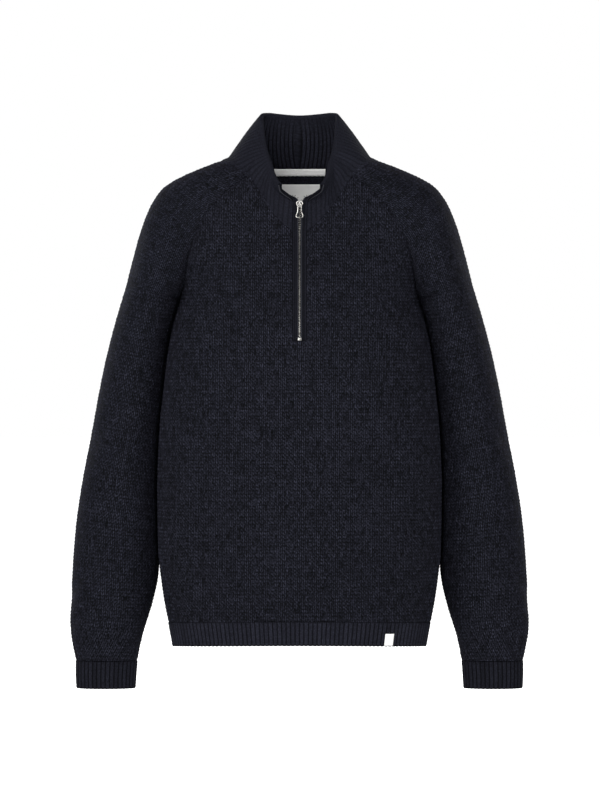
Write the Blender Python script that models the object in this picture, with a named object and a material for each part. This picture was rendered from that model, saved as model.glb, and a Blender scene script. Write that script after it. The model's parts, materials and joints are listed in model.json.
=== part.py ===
"""Quarter zip sweater, hollow, standing open as it does when worn.

+Z is up, the front faces -Y and the wearer's left side is +X. The origin is in the middle
of the neck, level with the top of the shoulders. Tables and sizes are in millimetres, and
a mesh is brought to metres when it is made.
"""

import math
from functools import lru_cache

import bmesh
import bpy
import numpy as np

MM = 0.001

# ---------------------------------------------------------------- driving sizes
CLOTH = 2.6            # thickness of the plain knit
RIB_CLOTH = 3.0        # thickness of hem and cuff ribbing, without the raised ribs
COLLAR_CLOTH = 5.2     # the collar is ribbing folded double
SEAM = 0.2             # each piece stops this far short of a seam line
GAP = 0.3              # clear space between pieces that lie on each other
ARM_CLEAR = 4.0        # space between a hanging sleeve and the body

HEM_TOP_Z = -646.0
HEM_RIB = 32.5
HEM_FRONT_LIFT = 5.5   # the hem rides up a little at the centre front
CUFF_TOP_Z = -700.0
CUFF_RIB = 38.0

ZIP_HALF_OPENING = 9.0  # half the width of the slit that the zip is set into
ZIP_BOTTOM_Z = -250.0  # the lowest teeth
SLIT_BOTTOM_Z = -255.0
SLIDER_Z = -65.0
EDGE_STRIP = 6.5       # width of the smooth knitted strip beside the teeth
CHAIN = 1.7            # width of one side's teeth

TORSO_ROUNDNESS = 2.25  # superellipse exponent of the body's sections

# Sections of the body, from hem to neck.
#  height, half width, depth of the widest line, front, back
TORSO = (
    (-684, 176, -12, -112, 110),
    (-650, 182, -13, -118, 113),
    (-600, 191, -15, -128, 119),
    (-540, 197, -18, -135, 124),
    (-460, 198, -21, -138, 126),
    (-381, 195, -24, -138, 127),
    (-311, 188, -25, -135, 128),
    (-255, 181, -19, -127, 128),
    (-215, 172, -8, -117, 126),
    (-195, 167, 0, -110, 124),
    (-165, 169, 4, -98, 120),
    (-138, 174, 6, -86, 114),
    (-101, 178, 8, -68, 104),
    (-67, 174, 10, -60, 92),
    (-42, 166, 11, -52, 82),
    (-21, 150, 12, -44.5, 71),
    (-6, 125, 12, -38, 62),
    (6, 95, 12, -32, 54),
)

# Raglan seams: height and distance from the centre line, from underarm to neck.
UNDERARM_Z = -195.0
RAGLAN_FRONT = ((-195, 167), (-180, 162), (-160, 158.5), (-133, 154.5), (-108, 146),
                (-74, 128), (-45, 100), (-22, 69))
RAGLAN_BACK = ((-195, 167), (-180, 162), (-160, 157), (-133, 150.5), (-101, 140),
               (-67, 124), (-36, 104), (-4, 76))

NECK_FRONT_Z = -99.0   # the neckline at the centre front
NECK_BACK_Z = -8.0     # the neckline at the centre back
NECK_CURVE = 1.55      # how the neckline climbs from the centre to the raglan seam

# The sleeve's top line, from the neck over the shoulder to the underarm's height.
#  x, y, z
SHOULDER = (
    (101, 4, 1.5),
    (121.8, 6, -5.6),
    (150.5, 8, -16.8),
    (174.3, 10, -28),
    (191.1, 11, -39.2),
    (200.2, 11, -50.4),
    (207.2, 11, -61.6),
    (217, 11, -84),
    (226, 11, -112),
    (234, 11, -142),
    (243, 10, -178),
)

NECK_HALF_DEPTH = 50.0  # half the depth of the sleeve's top edge at the neck

# The hanging sleeve, from underarm to wrist: its outer and inner line, and its depth.
#  outer x, outer z, inner x, inner z, middle y, half depth
SLEEVE = (
    (243, -178, 167.3, -195, 10, 71),
    (259, -231, 177, -248, 12, 69),
    (277, -305, 186, -325, 14, 67),
    (290, -375, 191, -394, 16, 65),
    (304, -447, 193, -463, 17, 63),
    (314, -517, 194, -530, 16, 60),
    (318, -572, 198, -580, 14, 55),
    (321, -630, 211, -637, 9, 47),
    (320.5, -664, 221, -669, 5, 40),
    (313, -699.8, 227, -699.8, 1, 30),
)

# The cuff: height, outer x, inner x, middle y, half depth
CUFF = (
    (-700, 312.5, 227.5, 1, 28),
    (-719, 312.5, 229, 0, 27),
    (-738, 311.5, 230, 0, 26.5),
)

# The collar's top edge, from its front corner to the centre back.
#  share of the way round, x, y, z
COLLAR_RIM = (
    (0.00, 30, -74, -37),
    (0.07, 37.5, -60, -27),
    (0.20, 41, -46, -9),
    (0.32, 44.5, -31, 7),
    (0.46, 49, -10, 31),
    (0.60, 53, 12, 58),
    (0.72, 53.5, 28, 67),
    (0.84, 38, 41, 68),
    (1.00, 0, 48, 65),
)

# The collar's front edge, from the neck seam up past the slider into the open corner.
#  share of the height, x, y, z
COLLAR_FRONT = (
    (0.00, 9, -67, -96),
    (0.25, 9, -69, -79),
    (0.46, 9.2, -70, -64),
    (0.62, 14, -71.5, -55),
    (0.80, 21.5, -73, -46),
    (1.00, 30, -74, -37),
)
COLLAR_OPEN_FROM = 0.46     # share of the height at which the slider stands
COLLAR_FRONT_REACH = 0.10   # share of the way round over which that edge shapes the collar
COLLAR_SWELL = 4.0          # how far the sides of the collar swell outwards
COLLAR_LIFT = 1.1           # from the neck seam's line to the collar's foot
COLLAR_ROWS = (0, 0.26, 0.46, 0.6, 0.76, 0.92, 1)
ZIP_COLLAR_STATIONS = (0.04, 0.26, 0.46, 0.6, 0.76, 0.92, 0.96)
ZIP_TURN = 0.4              # how far the open edges turn towards the front
COLLAR_TOP_ROUND = 0.42     # share of the thickness left at the rounded top edge

# Broad soft folds: centre line from one point to the other, width and depth.
#  x from, z from, x to, z to, width, depth
FRONT_FOLDS = (
    (-106, -296, -112, -470, 26, 3.2),
    (-118, -470, -146, -548, 22, 2.4),
    (102, -366, 98, -604, 28, 3.0),
    (12, -296, 34, -384, 34, 1.8),
    (-60, -560, 20, -604, 30, 1.6),
)
BACK_FOLDS = (
    (88, -300, 120, -520, 30, 3.2),
    (-96, -350, -84, -590, 28, 3.0),
    (-20, -560, 60, -600, 32, 1.8),
)
# On a sleeve: share of the way round (0 outer line, -1 and 1 the underarm) and height.
#  round from, z from, round to, z to, width as a share, depth
SLEEVE_FOLDS = (
    (-0.62, -300, -0.18, -392, 0.16, 2.6),
    (-0.70, -420, -0.30, -470, 0.14, 2.4),
    (-0.34, -556, -0.06, -610, 0.14, 2.2),
    (0.66, -330, 0.20, -420, 0.16, 2.6),
    (0.60, -500, 0.24, -560, 0.14, 2.2),
)

HEM_RIBS = 60          # raised ribs on each half of the hem
CUFF_RIBS = 25
COLLAR_RIBS = 37       # raised ribs on each half of the collar
RIB_RELIEF = 1.0

# White patches with nothing on them: half width or ways round, heights upwards.
NECK_TAPE = (37, (-19, -14, -9.8))
NECK_LABEL = (29, (-55, -42, -29))
HEM_LABEL = ((118.5, 125, 131.5), (-674, -666, -658))
HEM_LABEL_LEAN = 0.12
PATCH = 0.8            # their thickness
PATCH_COLUMNS = 8
BEHIND = CLOTH + 2.6 * GAP   # from the panel's outside to a patch on its inside

STRIP = 1.8            # thickness of the knitted strip beside the teeth
WOVEN_TAPE = 1.0       # thickness of the zip's tape
TEETH = (0.3, 2.8)     # front and back of the teeth, behind the cloth's outside
STOP_HALF_WIDTH = 1.9

PANEL_COLUMNS = 10     # cells from the zip's slit to the side, on each half
LOWER_ROWS = 12        # cells from the hem to the underarm
SEAM_ROWS = 9          # cells along a raglan seam
SLEEVE_COLUMNS = 18
SLEEVE_ROWS = 13
ZIP_ROW = 10           # the row of the front panel at which the zip's slit ends


# ---------------------------------------------------------------- reading tables
class Table:
    """A table read by its first column, with a smooth curve that never overshoots."""

    def __init__(self, rows):
        data = np.array(rows, float)
        self.at, self.values = data[:, 0], data[:, 1:]
        step = np.diff(self.at)[:, None]
        rise = np.diff(self.values, axis=0) / step
        slope = np.zeros_like(self.values)
        slope[0], slope[-1] = rise[0], rise[-1]
        for i in range(1, len(self.at) - 1):
            before, after = rise[i - 1], rise[i]
            same = before * after > 0
            near, far = 2 * step[i] + step[i - 1], step[i] + 2 * step[i - 1]
            safe_before = np.where(same, before, 1.0)
            safe_after = np.where(same, after, 1.0)
            slope[i] = np.where(same, (near + far) / (near / safe_before + far / safe_after), 0)
        self.slope = slope

    def __call__(self, x):
        k = int(np.clip(np.searchsorted(self.at, x) - 1, 0, len(self.at) - 2))
        step = self.at[k + 1] - self.at[k]
        t = float(np.clip((x - self.at[k]) / step, 0, 1))
        return ((1 + 2 * t) * (1 - t) ** 2 * self.values[k]
                + t * (1 - t) ** 2 * step * self.slope[k]
                + t * t * (3 - 2 * t) * self.values[k + 1]
                + t * t * (t - 1) * step * self.slope[k + 1])


def along(points):
    """A table of points read by the share of the way along them, from 0 to 1."""
    points = np.array(points, float)
    steps = np.linalg.norm(np.diff(points, axis=0), axis=1)
    share = np.concatenate([[0], np.cumsum(steps)]) / steps.sum()
    return Table(np.column_stack([share, points]))


TORSO_AT = Table(TORSO)
RAGLAN_AT = {-1: Table(RAGLAN_FRONT), 1: Table(RAGLAN_BACK)}
NECK_CENTRE_Z = {-1: NECK_FRONT_Z, 1: NECK_BACK_Z}
SHOULDER_AT = along(SHOULDER)
SLEEVE_AT = along(SLEEVE)
CUFF_AT = along(CUFF)
RIM_AT = Table(COLLAR_RIM)
COLLAR_FRONT_AT = Table(COLLAR_FRONT)
FRONT, BACK = -1, 1


# ---------------------------------------------------------------- the body's surface
@lru_cache(maxsize=None)
def torso_arc(z, face):
    """Points of a quarter section from the centre line to the side, and the way along it."""
    half_width, side_y, front_y, back_y = TORSO_AT(z)
    depth = (side_y - front_y) if face == FRONT else (back_y - side_y)
    angle = np.linspace(math.pi / 2, 0, 181)
    power = 2 / TORSO_ROUNDNESS
    x = half_width * np.cos(angle) ** power
    x[0] = 0.0
    y = side_y + face * depth * np.sin(angle) ** power
    way = np.concatenate([[0], np.cumsum(np.hypot(np.diff(x), np.diff(y)))])
    return x, y, way


def fold_depth(x, z, folds):
    """How far the cloth sinks at a place, from the table of folds."""
    depth = 0.0
    for x0, z0, x1, z1, width, deep in folds:
        run = np.array([x1 - x0, (z1 - z0)], float)
        place = np.array([x - x0, z - z0], float)
        t = float(np.clip(place @ run / (run @ run), 0, 1))
        away = np.linalg.norm(place - t * run) / width
        depth += deep * math.exp(-away * away * 2) * math.sin(math.pi * (0.15 + 0.7 * t))
    return depth


def torso_point(z, way, face):
    """The point of the body's surface at a height and a way round from the centre line."""
    x, y, arc = torso_arc(round(z, 2), face)
    px = np.interp(abs(way), arc, x) * (1 if way >= 0 else -1)
    py = np.interp(abs(way), arc, y)
    folds = FRONT_FOLDS if face == FRONT else BACK_FOLDS
    return np.array([px, py - face * fold_depth(way, z, folds), z])


def torso_normal(z, way, face):
    """The outward direction of the body's surface."""
    x, y, _ = torso_point(z, way, face)
    half_width, side_y, front_y, back_y = TORSO_AT(z)
    depth = (side_y - front_y) if face == FRONT else (back_y - side_y)
    power = TORSO_ROUNDNESS - 1
    out_x = math.copysign(min(1.0, abs(x) / half_width) ** power / half_width, x)
    out_y = face * min(1.0, abs(y - side_y) / depth) ** power / depth
    across = np.array([-out_y, out_x, 0])
    up = torso_point(z + 1, way, face) - torso_point(z - 1, way, face)
    normal = np.cross(across, up)
    return normal / np.linalg.norm(normal)


def torso_layer(places, face, depth):
    """A grid of points at a depth inside the body's surface, from heights and ways round."""
    return np.array([[torso_point(z, way, face) - depth * torso_normal(z, way, face)
                      for z, way in row] for row in places])


def half_girth(z, face):
    return torso_arc(round(z, 2), face)[2][-1]


def torso_half_width(y, z):
    """Half the body's width at a depth and height, nothing outside its section."""
    half_width, side_y, front_y, back_y = TORSO_AT(z)
    depth = (side_y - front_y) if y < side_y else (back_y - side_y)
    inside = 1 - abs((y - side_y) / depth) ** TORSO_ROUNDNESS
    return half_width * max(inside, 0.0) ** (1 / TORSO_ROUNDNESS)


def seam_way(z, face):
    """The way round from the centre line to the side seam or the raglan seam."""
    if z <= UNDERARM_Z:
        return half_girth(z, face)
    x, _, arc = torso_arc(round(z, 2), face)
    return float(np.interp(RAGLAN_AT[face](z)[0], x, arc))


@lru_cache(maxsize=None)
def seam_heights(face):
    """Heights of the raglan seam's shared points, evenly spaced from underarm to neck."""
    table = RAGLAN_FRONT if face == FRONT else RAGLAN_BACK
    z = np.linspace(table[0][0], table[-1][0], 200)
    points = np.array([torso_point(h, seam_way(h, face), face) for h in z])
    way = np.concatenate([[0], np.cumsum(np.linalg.norm(np.diff(points, axis=0), axis=1))])
    return np.interp(np.linspace(0, way[-1], SEAM_ROWS + 1), way, z)


def panel_columns():
    """Shares of the way from the slit to the side, closer together near the side."""
    return np.linspace(0, 1, PANEL_COLUMNS + 1) ** 0.93


def neckline_height(face, share):
    side_z = seam_heights(face)[-1]
    return NECK_CENTRE_Z[face] + (side_z - NECK_CENTRE_Z[face]) * share ** NECK_CURVE


def panel_place(face, side, row, column):
    """Height and way round of a panel's point, by row (0 at the hem) and column share."""
    if row <= LOWER_ROWS:
        edge_z = HEM_TOP_Z + (UNDERARM_Z - HEM_TOP_Z) * row / LOWER_ROWS
    else:
        edge_z = seam_heights(face)[row - LOWER_ROWS]
    edge = seam_way(edge_z, face) - SEAM
    way = ZIP_HALF_OPENING + (edge - ZIP_HALF_OPENING) * column
    share = way / edge
    top_row = LOWER_ROWS + SEAM_ROWS
    centre_z = np.interp(row, CENTRE_ROWS, CENTRE_HEIGHTS[face])
    z = centre_z + (edge_z - centre_z) * share ** NECK_CURVE
    if face == FRONT:
        z += HEM_FRONT_LIFT * max(0, 1 - row / ZIP_ROW) * (1 - share ** 2)
    if row == top_row:
        z -= SEAM
    return z, side * way


CENTRE_ROWS = (0, ZIP_ROW, LOWER_ROWS + SEAM_ROWS)
CENTRE_HEIGHTS = {FRONT: (HEM_TOP_Z, SLIT_BOTTOM_Z, NECK_FRONT_Z),
                  BACK: (HEM_TOP_Z, SLIT_BOTTOM_Z, NECK_BACK_Z)}


# ---------------------------------------------------------------- the sleeves' surface
def raglan_point(face, k):
    """Shared point k of a raglan seam, 0 at the underarm and SEAM_ROWS at the neck."""
    z = seam_heights(face)[k]
    return torso_point(z, seam_way(z, face), face)


def open_ring(k):
    """The sleeve's ring at seam point k: outer point, middle, half depth and half turn."""
    front, back = raglan_point(FRONT, k), raglan_point(BACK, k)
    share = 1 - k / SEAM_ROWS
    outer = SHOULDER_AT(share)
    middle = (front + back) / 2
    half = (back[1] - front[1]) / 2
    depth = max(half, NECK_HALF_DEPTH + (SLEEVE[0][5] - NECK_HALF_DEPTH) * share ** 0.6)
    turn = math.pi - math.asin(min(1.0, half / depth))
    centre = (middle - outer * math.cos(turn)) / (1 - math.cos(turn))
    return front, back, outer, centre, depth, turn


def ring_point(centre, outer, depth, angle):
    return centre + (outer - centre) * math.cos(angle) + np.array([0, depth * math.sin(angle), 0])


def sleeve_open_point(k, q):
    """A point of the shoulder part, q from -1 at the front seam to 1 at the back seam."""
    front, back, outer, centre, depth, turn = open_ring(k)
    point = ring_point(centre, outer, depth, q * turn)
    target, end = (front, -1) if q < 0 else (back, 1)
    miss = target - ring_point(centre, outer, depth, end * turn)
    return point + miss * q * q


def sleeve_closed_point(share, q):
    """A point of the hanging part, q from -1 round the outer line at 0 to 1."""
    ox, oz, ix, iz, y, depth = SLEEVE_AT(share)
    outer, inner = np.array([ox, y, oz]), np.array([ix, y, iz])
    point = ring_point((outer + inner) / 2, outer, depth, q * math.pi)
    clear = SEAM + ARM_CLEAR * min(1.0, share * 12)
    least = torso_half_width(point[1], point[2]) + clear
    point[0] = max(point[0], least)
    return point


def sleeve_grid():
    """Rows from the neck to the wrist, columns from the front seam round to the back seam."""
    rows = []
    turn = np.linspace(-1, 1, SLEEVE_COLUMNS + 1)
    for k in range(SEAM_ROWS, 0, -1):
        length = np.linalg.norm(sleeve_open_point(k, -1) - sleeve_open_point(k, 0)) * 1.2
        row = [sleeve_open_point(k, q * (1 - SEAM / length)) for q in turn]
        if k == SEAM_ROWS:
            row = [p - np.array([0, 0, SEAM]) for p in row]
        rows.append(row)
    for i in range(SLEEVE_ROWS + 1):
        rows.append([sleeve_closed_point(i / SLEEVE_ROWS, q) for q in turn])
    grid = np.array(rows)
    normals = grid_normals(grid, SEAM_ROWS)
    for i, row in enumerate(grid):
        for j, q in enumerate(turn):
            sink = 0.0
            for q0, z0, q1, z1, width, deep in SLEEVE_FOLDS:
                z = row[j][2]
                t = float(np.clip((z - z0) / (z1 - z0), 0, 1))
                away = math.hypot((q - q0 - t * (q1 - q0)) / width, (z - z0 - t * (z1 - z0)) / 30)
                sink += deep * math.exp(-2 * away * away)
            grid[i, j] = row[j] - normals[i, j] * sink
    return grid


# ---------------------------------------------------------------- grids and walls
def grid_normals(grid, closed_from=None):
    """Unit normals of a grid of points; rows from closed_from on are closed rings."""
    down = np.gradient(grid, axis=0)
    across = np.gradient(grid, axis=1)
    if closed_from is not None:
        around = grid[:, 1] - grid[:, -2]
        across[closed_from:, 0] = around[closed_from:]
        across[closed_from:, -1] = around[closed_from:]
    normals = np.cross(down, across)
    return normals / np.linalg.norm(normals, axis=2, keepdims=True)


def sunk(outer, depth, closed_from=None):
    """The grid moved to its inner side."""
    return outer - grid_normals(outer, closed_from) * depth


def material(name, colour, roughness, metallic=0.0):
    found = bpy.data.materials.get(name)
    if found:
        return found
    made = bpy.data.materials.new(name)
    made.use_nodes = True
    shader = made.node_tree.nodes["Principled BSDF"]
    shader.inputs["Base Color"].default_value = (*colour, 1)
    shader.inputs["Roughness"].default_value = roughness
    shader.inputs["Metallic"].default_value = metallic
    return made


def add_object(name, mesh_bm, finish, location=(0, 0, 0)):
    bmesh.ops.triangulate(mesh_bm, faces=mesh_bm.faces, quad_method="FIXED")
    bmesh.ops.recalc_face_normals(mesh_bm, faces=mesh_bm.faces)
    mesh = bpy.data.meshes.new(name)
    mesh_bm.to_mesh(mesh)
    mesh_bm.free()
    mesh.shade_smooth()
    mesh.set_sharp_from_angle(angle=math.radians(50))
    mesh.materials.append(finish)
    made = bpy.data.objects.new(name, mesh)
    made.location = location
    bpy.context.scene.collection.objects.link(made)
    return made


def wall(name, outer, inner, finish, closed_from=None, skip=()):
    """A closed body of cloth between two grids of points, open where skip names cells."""
    rows, columns = outer.shape[:2]
    ring_row = rows if closed_from is None else closed_from
    bm = bmesh.new()
    layers = []
    for grid in (outer, inner):
        layer = {}
        for r in range(rows):
            for c in range(columns):
                if c == columns - 1 and r >= ring_row:
                    layer[r, c] = layer[r, 0]
                else:
                    layer[r, c] = bm.verts.new(grid[r, c] * MM)
        layers.append(layer)
    cells = {(r, c) for r in range(rows - 1) for c in range(columns - 1)} - set(skip)
    out, into = layers
    for r, c in sorted(cells):
        corners = [(r, c), (r + 1, c), (r + 1, c + 1), (r, c + 1)]
        far_half = 2 * c >= columns - 1
        order = corners[1:] + corners[:1] if far_half else corners
        bm.faces.new([out[k] for k in order])
        bm.faces.new([into[order[0]]] + [into[k] for k in order[:0:-1]])
        ring = r >= ring_row
        beside = [(r, c - 1), (r + 1, c), (r, c + 1), (r - 1, c)]
        if ring:
            beside = [(a, b % (columns - 1)) for a, b in beside]
        for side in range(4):
            if beside[side] not in cells:
                a, b = corners[side], corners[(side + 1) % 4]
                quad = [out[b], out[a], into[a], into[b]]
                bm.faces.new(quad[1:] + quad[:1] if far_half else quad)
    loose = [v for v in bm.verts if not v.link_faces]
    bmesh.ops.delete(bm, geom=loose, context="VERTS")
    return add_object(name, bm, finish)


def mirrored(grid):
    """The same grid on the other side of the body."""
    other = grid[:, ::-1].copy()
    other[..., 0] *= -1
    return other


def mirror_object(source, name):
    """A copy of a piece for the other side of the body."""
    bm = bmesh.new()
    bm.from_mesh(source.data)
    bmesh.ops.scale(bm, vec=(-1, 1, 1), verts=bm.verts)
    return add_object(name, bm, source.data.materials[0])


# ---------------------------------------------------------------- the pieces
KNIT = material("navy_knit", (0.012, 0.014, 0.024), 0.95)
RIB_KNIT = material("navy_rib", (0.012, 0.014, 0.024), 0.95)
TAPE = material("zip_tape", (0.02, 0.022, 0.03), 0.8)
METAL = material("silver_metal", (0.62, 0.61, 0.58), 0.32, 1.0)
LABEL = material("white_label", (0.82, 0.81, 0.78), 0.75)


def build_panel(name, face):
    shares = panel_columns()
    rows = range(LOWER_ROWS + SEAM_ROWS + 1)
    places = [[panel_place(face, -1, r, c) for c in shares[::-1]]
              + [panel_place(face, 1, r, c) for c in shares] for r in rows]
    slit = [(r, PANEL_COLUMNS) for r in rows if r >= ZIP_ROW] if face == FRONT else []
    wall(name, torso_layer(places, face, 0), torso_layer(places, face, CLOTH), KNIT, skip=slit)


def build_sleeves():
    outer = sleeve_grid()
    inner = sunk(outer, CLOTH, SEAM_ROWS)
    left = wall("sleeve_left", outer, inner, KNIT, closed_from=SEAM_ROWS)
    mirror_object(left, "sleeve_right")


def build_hem(name, face):
    depths = (GAP, GAP + HEM_RIB / 2, GAP + HEM_RIB)
    shares = np.linspace(-1, 1, 2 * HEM_RIBS + 1)
    rows = []
    for depth in depths:
        edge = half_girth(HEM_TOP_Z - depth, face) - SEAM
        row = []
        for share in shares:
            lift = HEM_FRONT_LIFT * (1 - share ** 2) if face == FRONT else 0
            row.append((HEM_TOP_Z - depth + lift, share * edge))
        rows.append(row)
    plain, raised = torso_layer(rows, face, 0), torso_layer(rows, face, -RIB_RELIEF)
    rib = (np.arange(len(shares)) % 2 == 1)[None, :, None]
    wall(name, np.where(rib, raised, plain), torso_layer(rows, face, RIB_CLOTH), RIB_KNIT)


def even_ellipse(half_width, depth, count):
    """Angles from -180 to 180 degrees that divide an ellipse evenly."""
    angle = np.linspace(-math.pi, math.pi, 721)
    x, y = half_width * np.cos(angle), depth * np.sin(angle)
    way = np.concatenate([[0], np.cumsum(np.hypot(np.diff(x), np.diff(y)))])
    return np.interp(np.linspace(0, way[-1], count + 1), way, angle)


def build_cuffs():
    rows = []
    for share in (0, 0.5, 1):
        z, outer_x, inner_x, y, depth = (CUFF_TOP_Z - GAP - CUFF_RIB * share, *CUFF_AT(share)[1:])
        half = (outer_x - inner_x) / 2
        angles = even_ellipse(half, depth, 2 * CUFF_RIBS)
        rows.append([(inner_x + half + half * math.cos(a), y + depth * math.sin(a), z)
                     for a in angles])
    base = np.array(rows)
    raised = np.where(np.arange(base.shape[1]) % 2 == 1, RIB_RELIEF, 0.0)[None, :, None]
    outer = sunk(base, -raised, 0)
    inner = sunk(base, RIB_CLOTH, 0)
    mirror_object(wall("cuff_left", outer, inner, RIB_KNIT, closed_from=0), "cuff_right")


def neck_seam():
    """The neck seam on the wearer's left, from the zip's slit round to the centre back."""
    points = []
    for face, shares in ((FRONT, np.linspace(0, 1, 13)), (BACK, np.linspace(1, 0, 13))):
        edge = seam_way(seam_heights(face)[-1], face)
        if face == BACK:
            points += [sleeve_open_point(SEAM_ROWS, q) for q in np.linspace(-1, 1, 17)[1:-1]]
        first = ZIP_HALF_OPENING / edge if face == FRONT else 0
        for share in first + (1 - first) * shares:
            points.append(torso_point(neckline_height(face, share), share * edge, face))
    return along(points)


def collar_point(seam, u, v):
    """The collar's outer surface: u from the zip to the centre back, v from seam to top."""
    base, rim = seam(u), RIM_AT(u)
    rise = (rim - base) / np.linalg.norm(rim - base)
    base = base + rise * COLLAR_LIFT
    front = COLLAR_FRONT_AT(v) - (1 - v) * COLLAR_FRONT_AT(0) - v * COLLAR_FRONT_AT(1)
    near = math.exp(-(u / COLLAR_FRONT_REACH) ** 2)
    swell = COLLAR_SWELL * (1 - near) * 4 * v * (1 - v) * np.array([rise[2], 0, -rise[0]])
    return base + (rim - base) * v + front * near + swell


def collar_edge(seam, v):
    """The collar's front edge: a point, the way up, to the zip's centre, and outwards."""
    point = collar_point(seam, 0, v)
    up = collar_point(seam, 0, v + 0.01) - collar_point(seam, 0, v - 0.01)
    along_band = point - collar_point(seam, 0.01, v)
    opening = ZIP_TURN * float(np.clip((v - COLLAR_OPEN_FROM) / (1 - COLLAR_OPEN_FROM), 0, 1))
    straight = np.array([-1.0, 0, 0])
    inward = straight * (1 - opening) + along_band / np.linalg.norm(along_band) * opening
    return edge_frame(point, up, inward)


def edge_frame(point, up, inward):
    up = up / np.linalg.norm(up)
    inward = inward - up * (inward @ up)
    inward = inward / np.linalg.norm(inward)
    return point, inward, np.cross(up, inward)


def build_collar(seam):
    """One thick band round the neck, from one front edge to the other."""
    shares = np.linspace(0, 1, 2 * COLLAR_RIBS + 1)
    left = np.array([[collar_point(seam, u, v) for u in shares] for v in COLLAR_ROWS])
    right = mirrored(left)
    base = np.concatenate([left, right[:, 1:]], axis=1)
    normals = -grid_normals(base)
    for r, v in enumerate(COLLAR_ROWS):
        normals[r, 0] = collar_edge(seam, v)[2]
        normals[r, -1] = normals[r, 0] * (-1, 1, 1)
    raised = np.where(np.arange(base.shape[1]) % 2 == 1, RIB_RELIEF * 0.6, 0.0)
    raised[0] = raised[-1] = 0
    outer, inner = base.copy(), base.copy()
    last = len(COLLAR_ROWS) - 1
    for r in range(last + 1):
        inset = COLLAR_CLOTH * (1 - COLLAR_TOP_ROUND) / 2 if r == last else 0
        outer[r] += normals[r] * (raised[:, None] - inset)
        inner[r] -= normals[r] * (COLLAR_CLOTH - inset)
    wall("collar", outer, inner, RIB_KNIT)


def zip_edge(seam, bottom):
    """Stations up the left edge of the opening: point, way to the centre, way outwards."""
    frames = []
    for z in np.linspace(bottom, NECK_FRONT_Z - 2, 10):
        point = torso_point(z, ZIP_HALF_OPENING, FRONT)
        up = torso_point(z + 1, ZIP_HALF_OPENING, FRONT) - point
        frames.append(edge_frame(point, up, np.array([-1.0, 0, 0])))
    frames += [collar_edge(seam, v) for v in ZIP_COLLAR_STATIONS]
    return frames


def zip_strip(name, frames, across, depth, finish):
    """A strip along the zip: across from the edge towards the centre, depth inwards."""
    grids = []
    for sink in depth:
        grids.append(np.array([[p + s * a - n * sink for a in across] for p, s, n in frames]))
    outer, inner = grids
    mirror_object(wall(name + "_left", outer, inner, finish), name + "_right")


def build_zip(seam):
    frames = zip_edge(seam, SLIT_BOTTOM_Z + GAP)
    edge = (GAP, GAP + EDGE_STRIP)
    teeth = (edge[1] + GAP, edge[1] + GAP + CHAIN)
    zip_strip("edge_strip", frames, edge, (0, STRIP), RIB_KNIT)
    zip_strip("zip_tape", frames, edge, (STRIP + GAP, STRIP + GAP + WOVEN_TAPE), TAPE)
    zip_strip("zip_chain", zip_edge(seam, ZIP_BOTTOM_Z), teeth, TEETH, METAL)


def plate(name, outline, window, thickness, finish, location):
    """A flat metal piece in the plane of the front, with a window through it."""
    loops = [np.array([[(x, y, z) for x, z in loop + loop[:1]] for y in (-thickness / 2,
             thickness / 2)], float) for loop in (outline, window)]
    made = wall(name, loops[0], loops[1], finish, closed_from=0)
    made.location = np.array(location) * MM
    return made


def block(name, low, high, finish):
    """A box between two corners."""
    bm = bmesh.new()
    bmesh.ops.create_cube(bm, size=1)
    size, middle = np.subtract(high, low) * MM, np.add(high, low) / 2 * MM
    bmesh.ops.scale(bm, vec=size, verts=bm.verts)
    bmesh.ops.translate(bm, vec=middle, verts=bm.verts)
    return add_object(name, bm, finish)


# The slider's front plate, and the pull's outline and window: x, z from the hinge.
SLIDER_PLATE = [(-4.4, 4.6), (4.4, 4.6), (5.1, 1.5), (4.2, -4.6), (-4.2, -4.6), (-5.1, 1.5)]
PULL_OUTLINE = [(-2.9, 1.0), (2.9, 1.0), (3.3, -9.5), (6.7, -12.6), (6.7, -16.4),
                (-6.7, -16.4), (-6.7, -12.6), (-3.3, -9.5)]
PULL_WINDOW = [(-1.9, -0.8), (1.9, -0.8), (2.1, -10.2), (3.4, -12.6), (3.4, -13.8),
               (-3.4, -13.8), (-3.4, -12.6), (-2.1, -10.2)]
PLATE_THICK = 1.4
BAIL_REACH = 4.2       # how far the bail stands out from the plate
BAIL_WIDTH = 2.4
BAIL_WIRE = 1.1
BAIL_HEIGHTS = (-3.6, 2.6)
PULL_THICK = 1.3
PLATE_CLEAR = 4 * GAP  # from the foremost tooth to the plate
BAIL_BITE = 0.001      # how far the bail's window stands off the plate, so that they join


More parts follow.
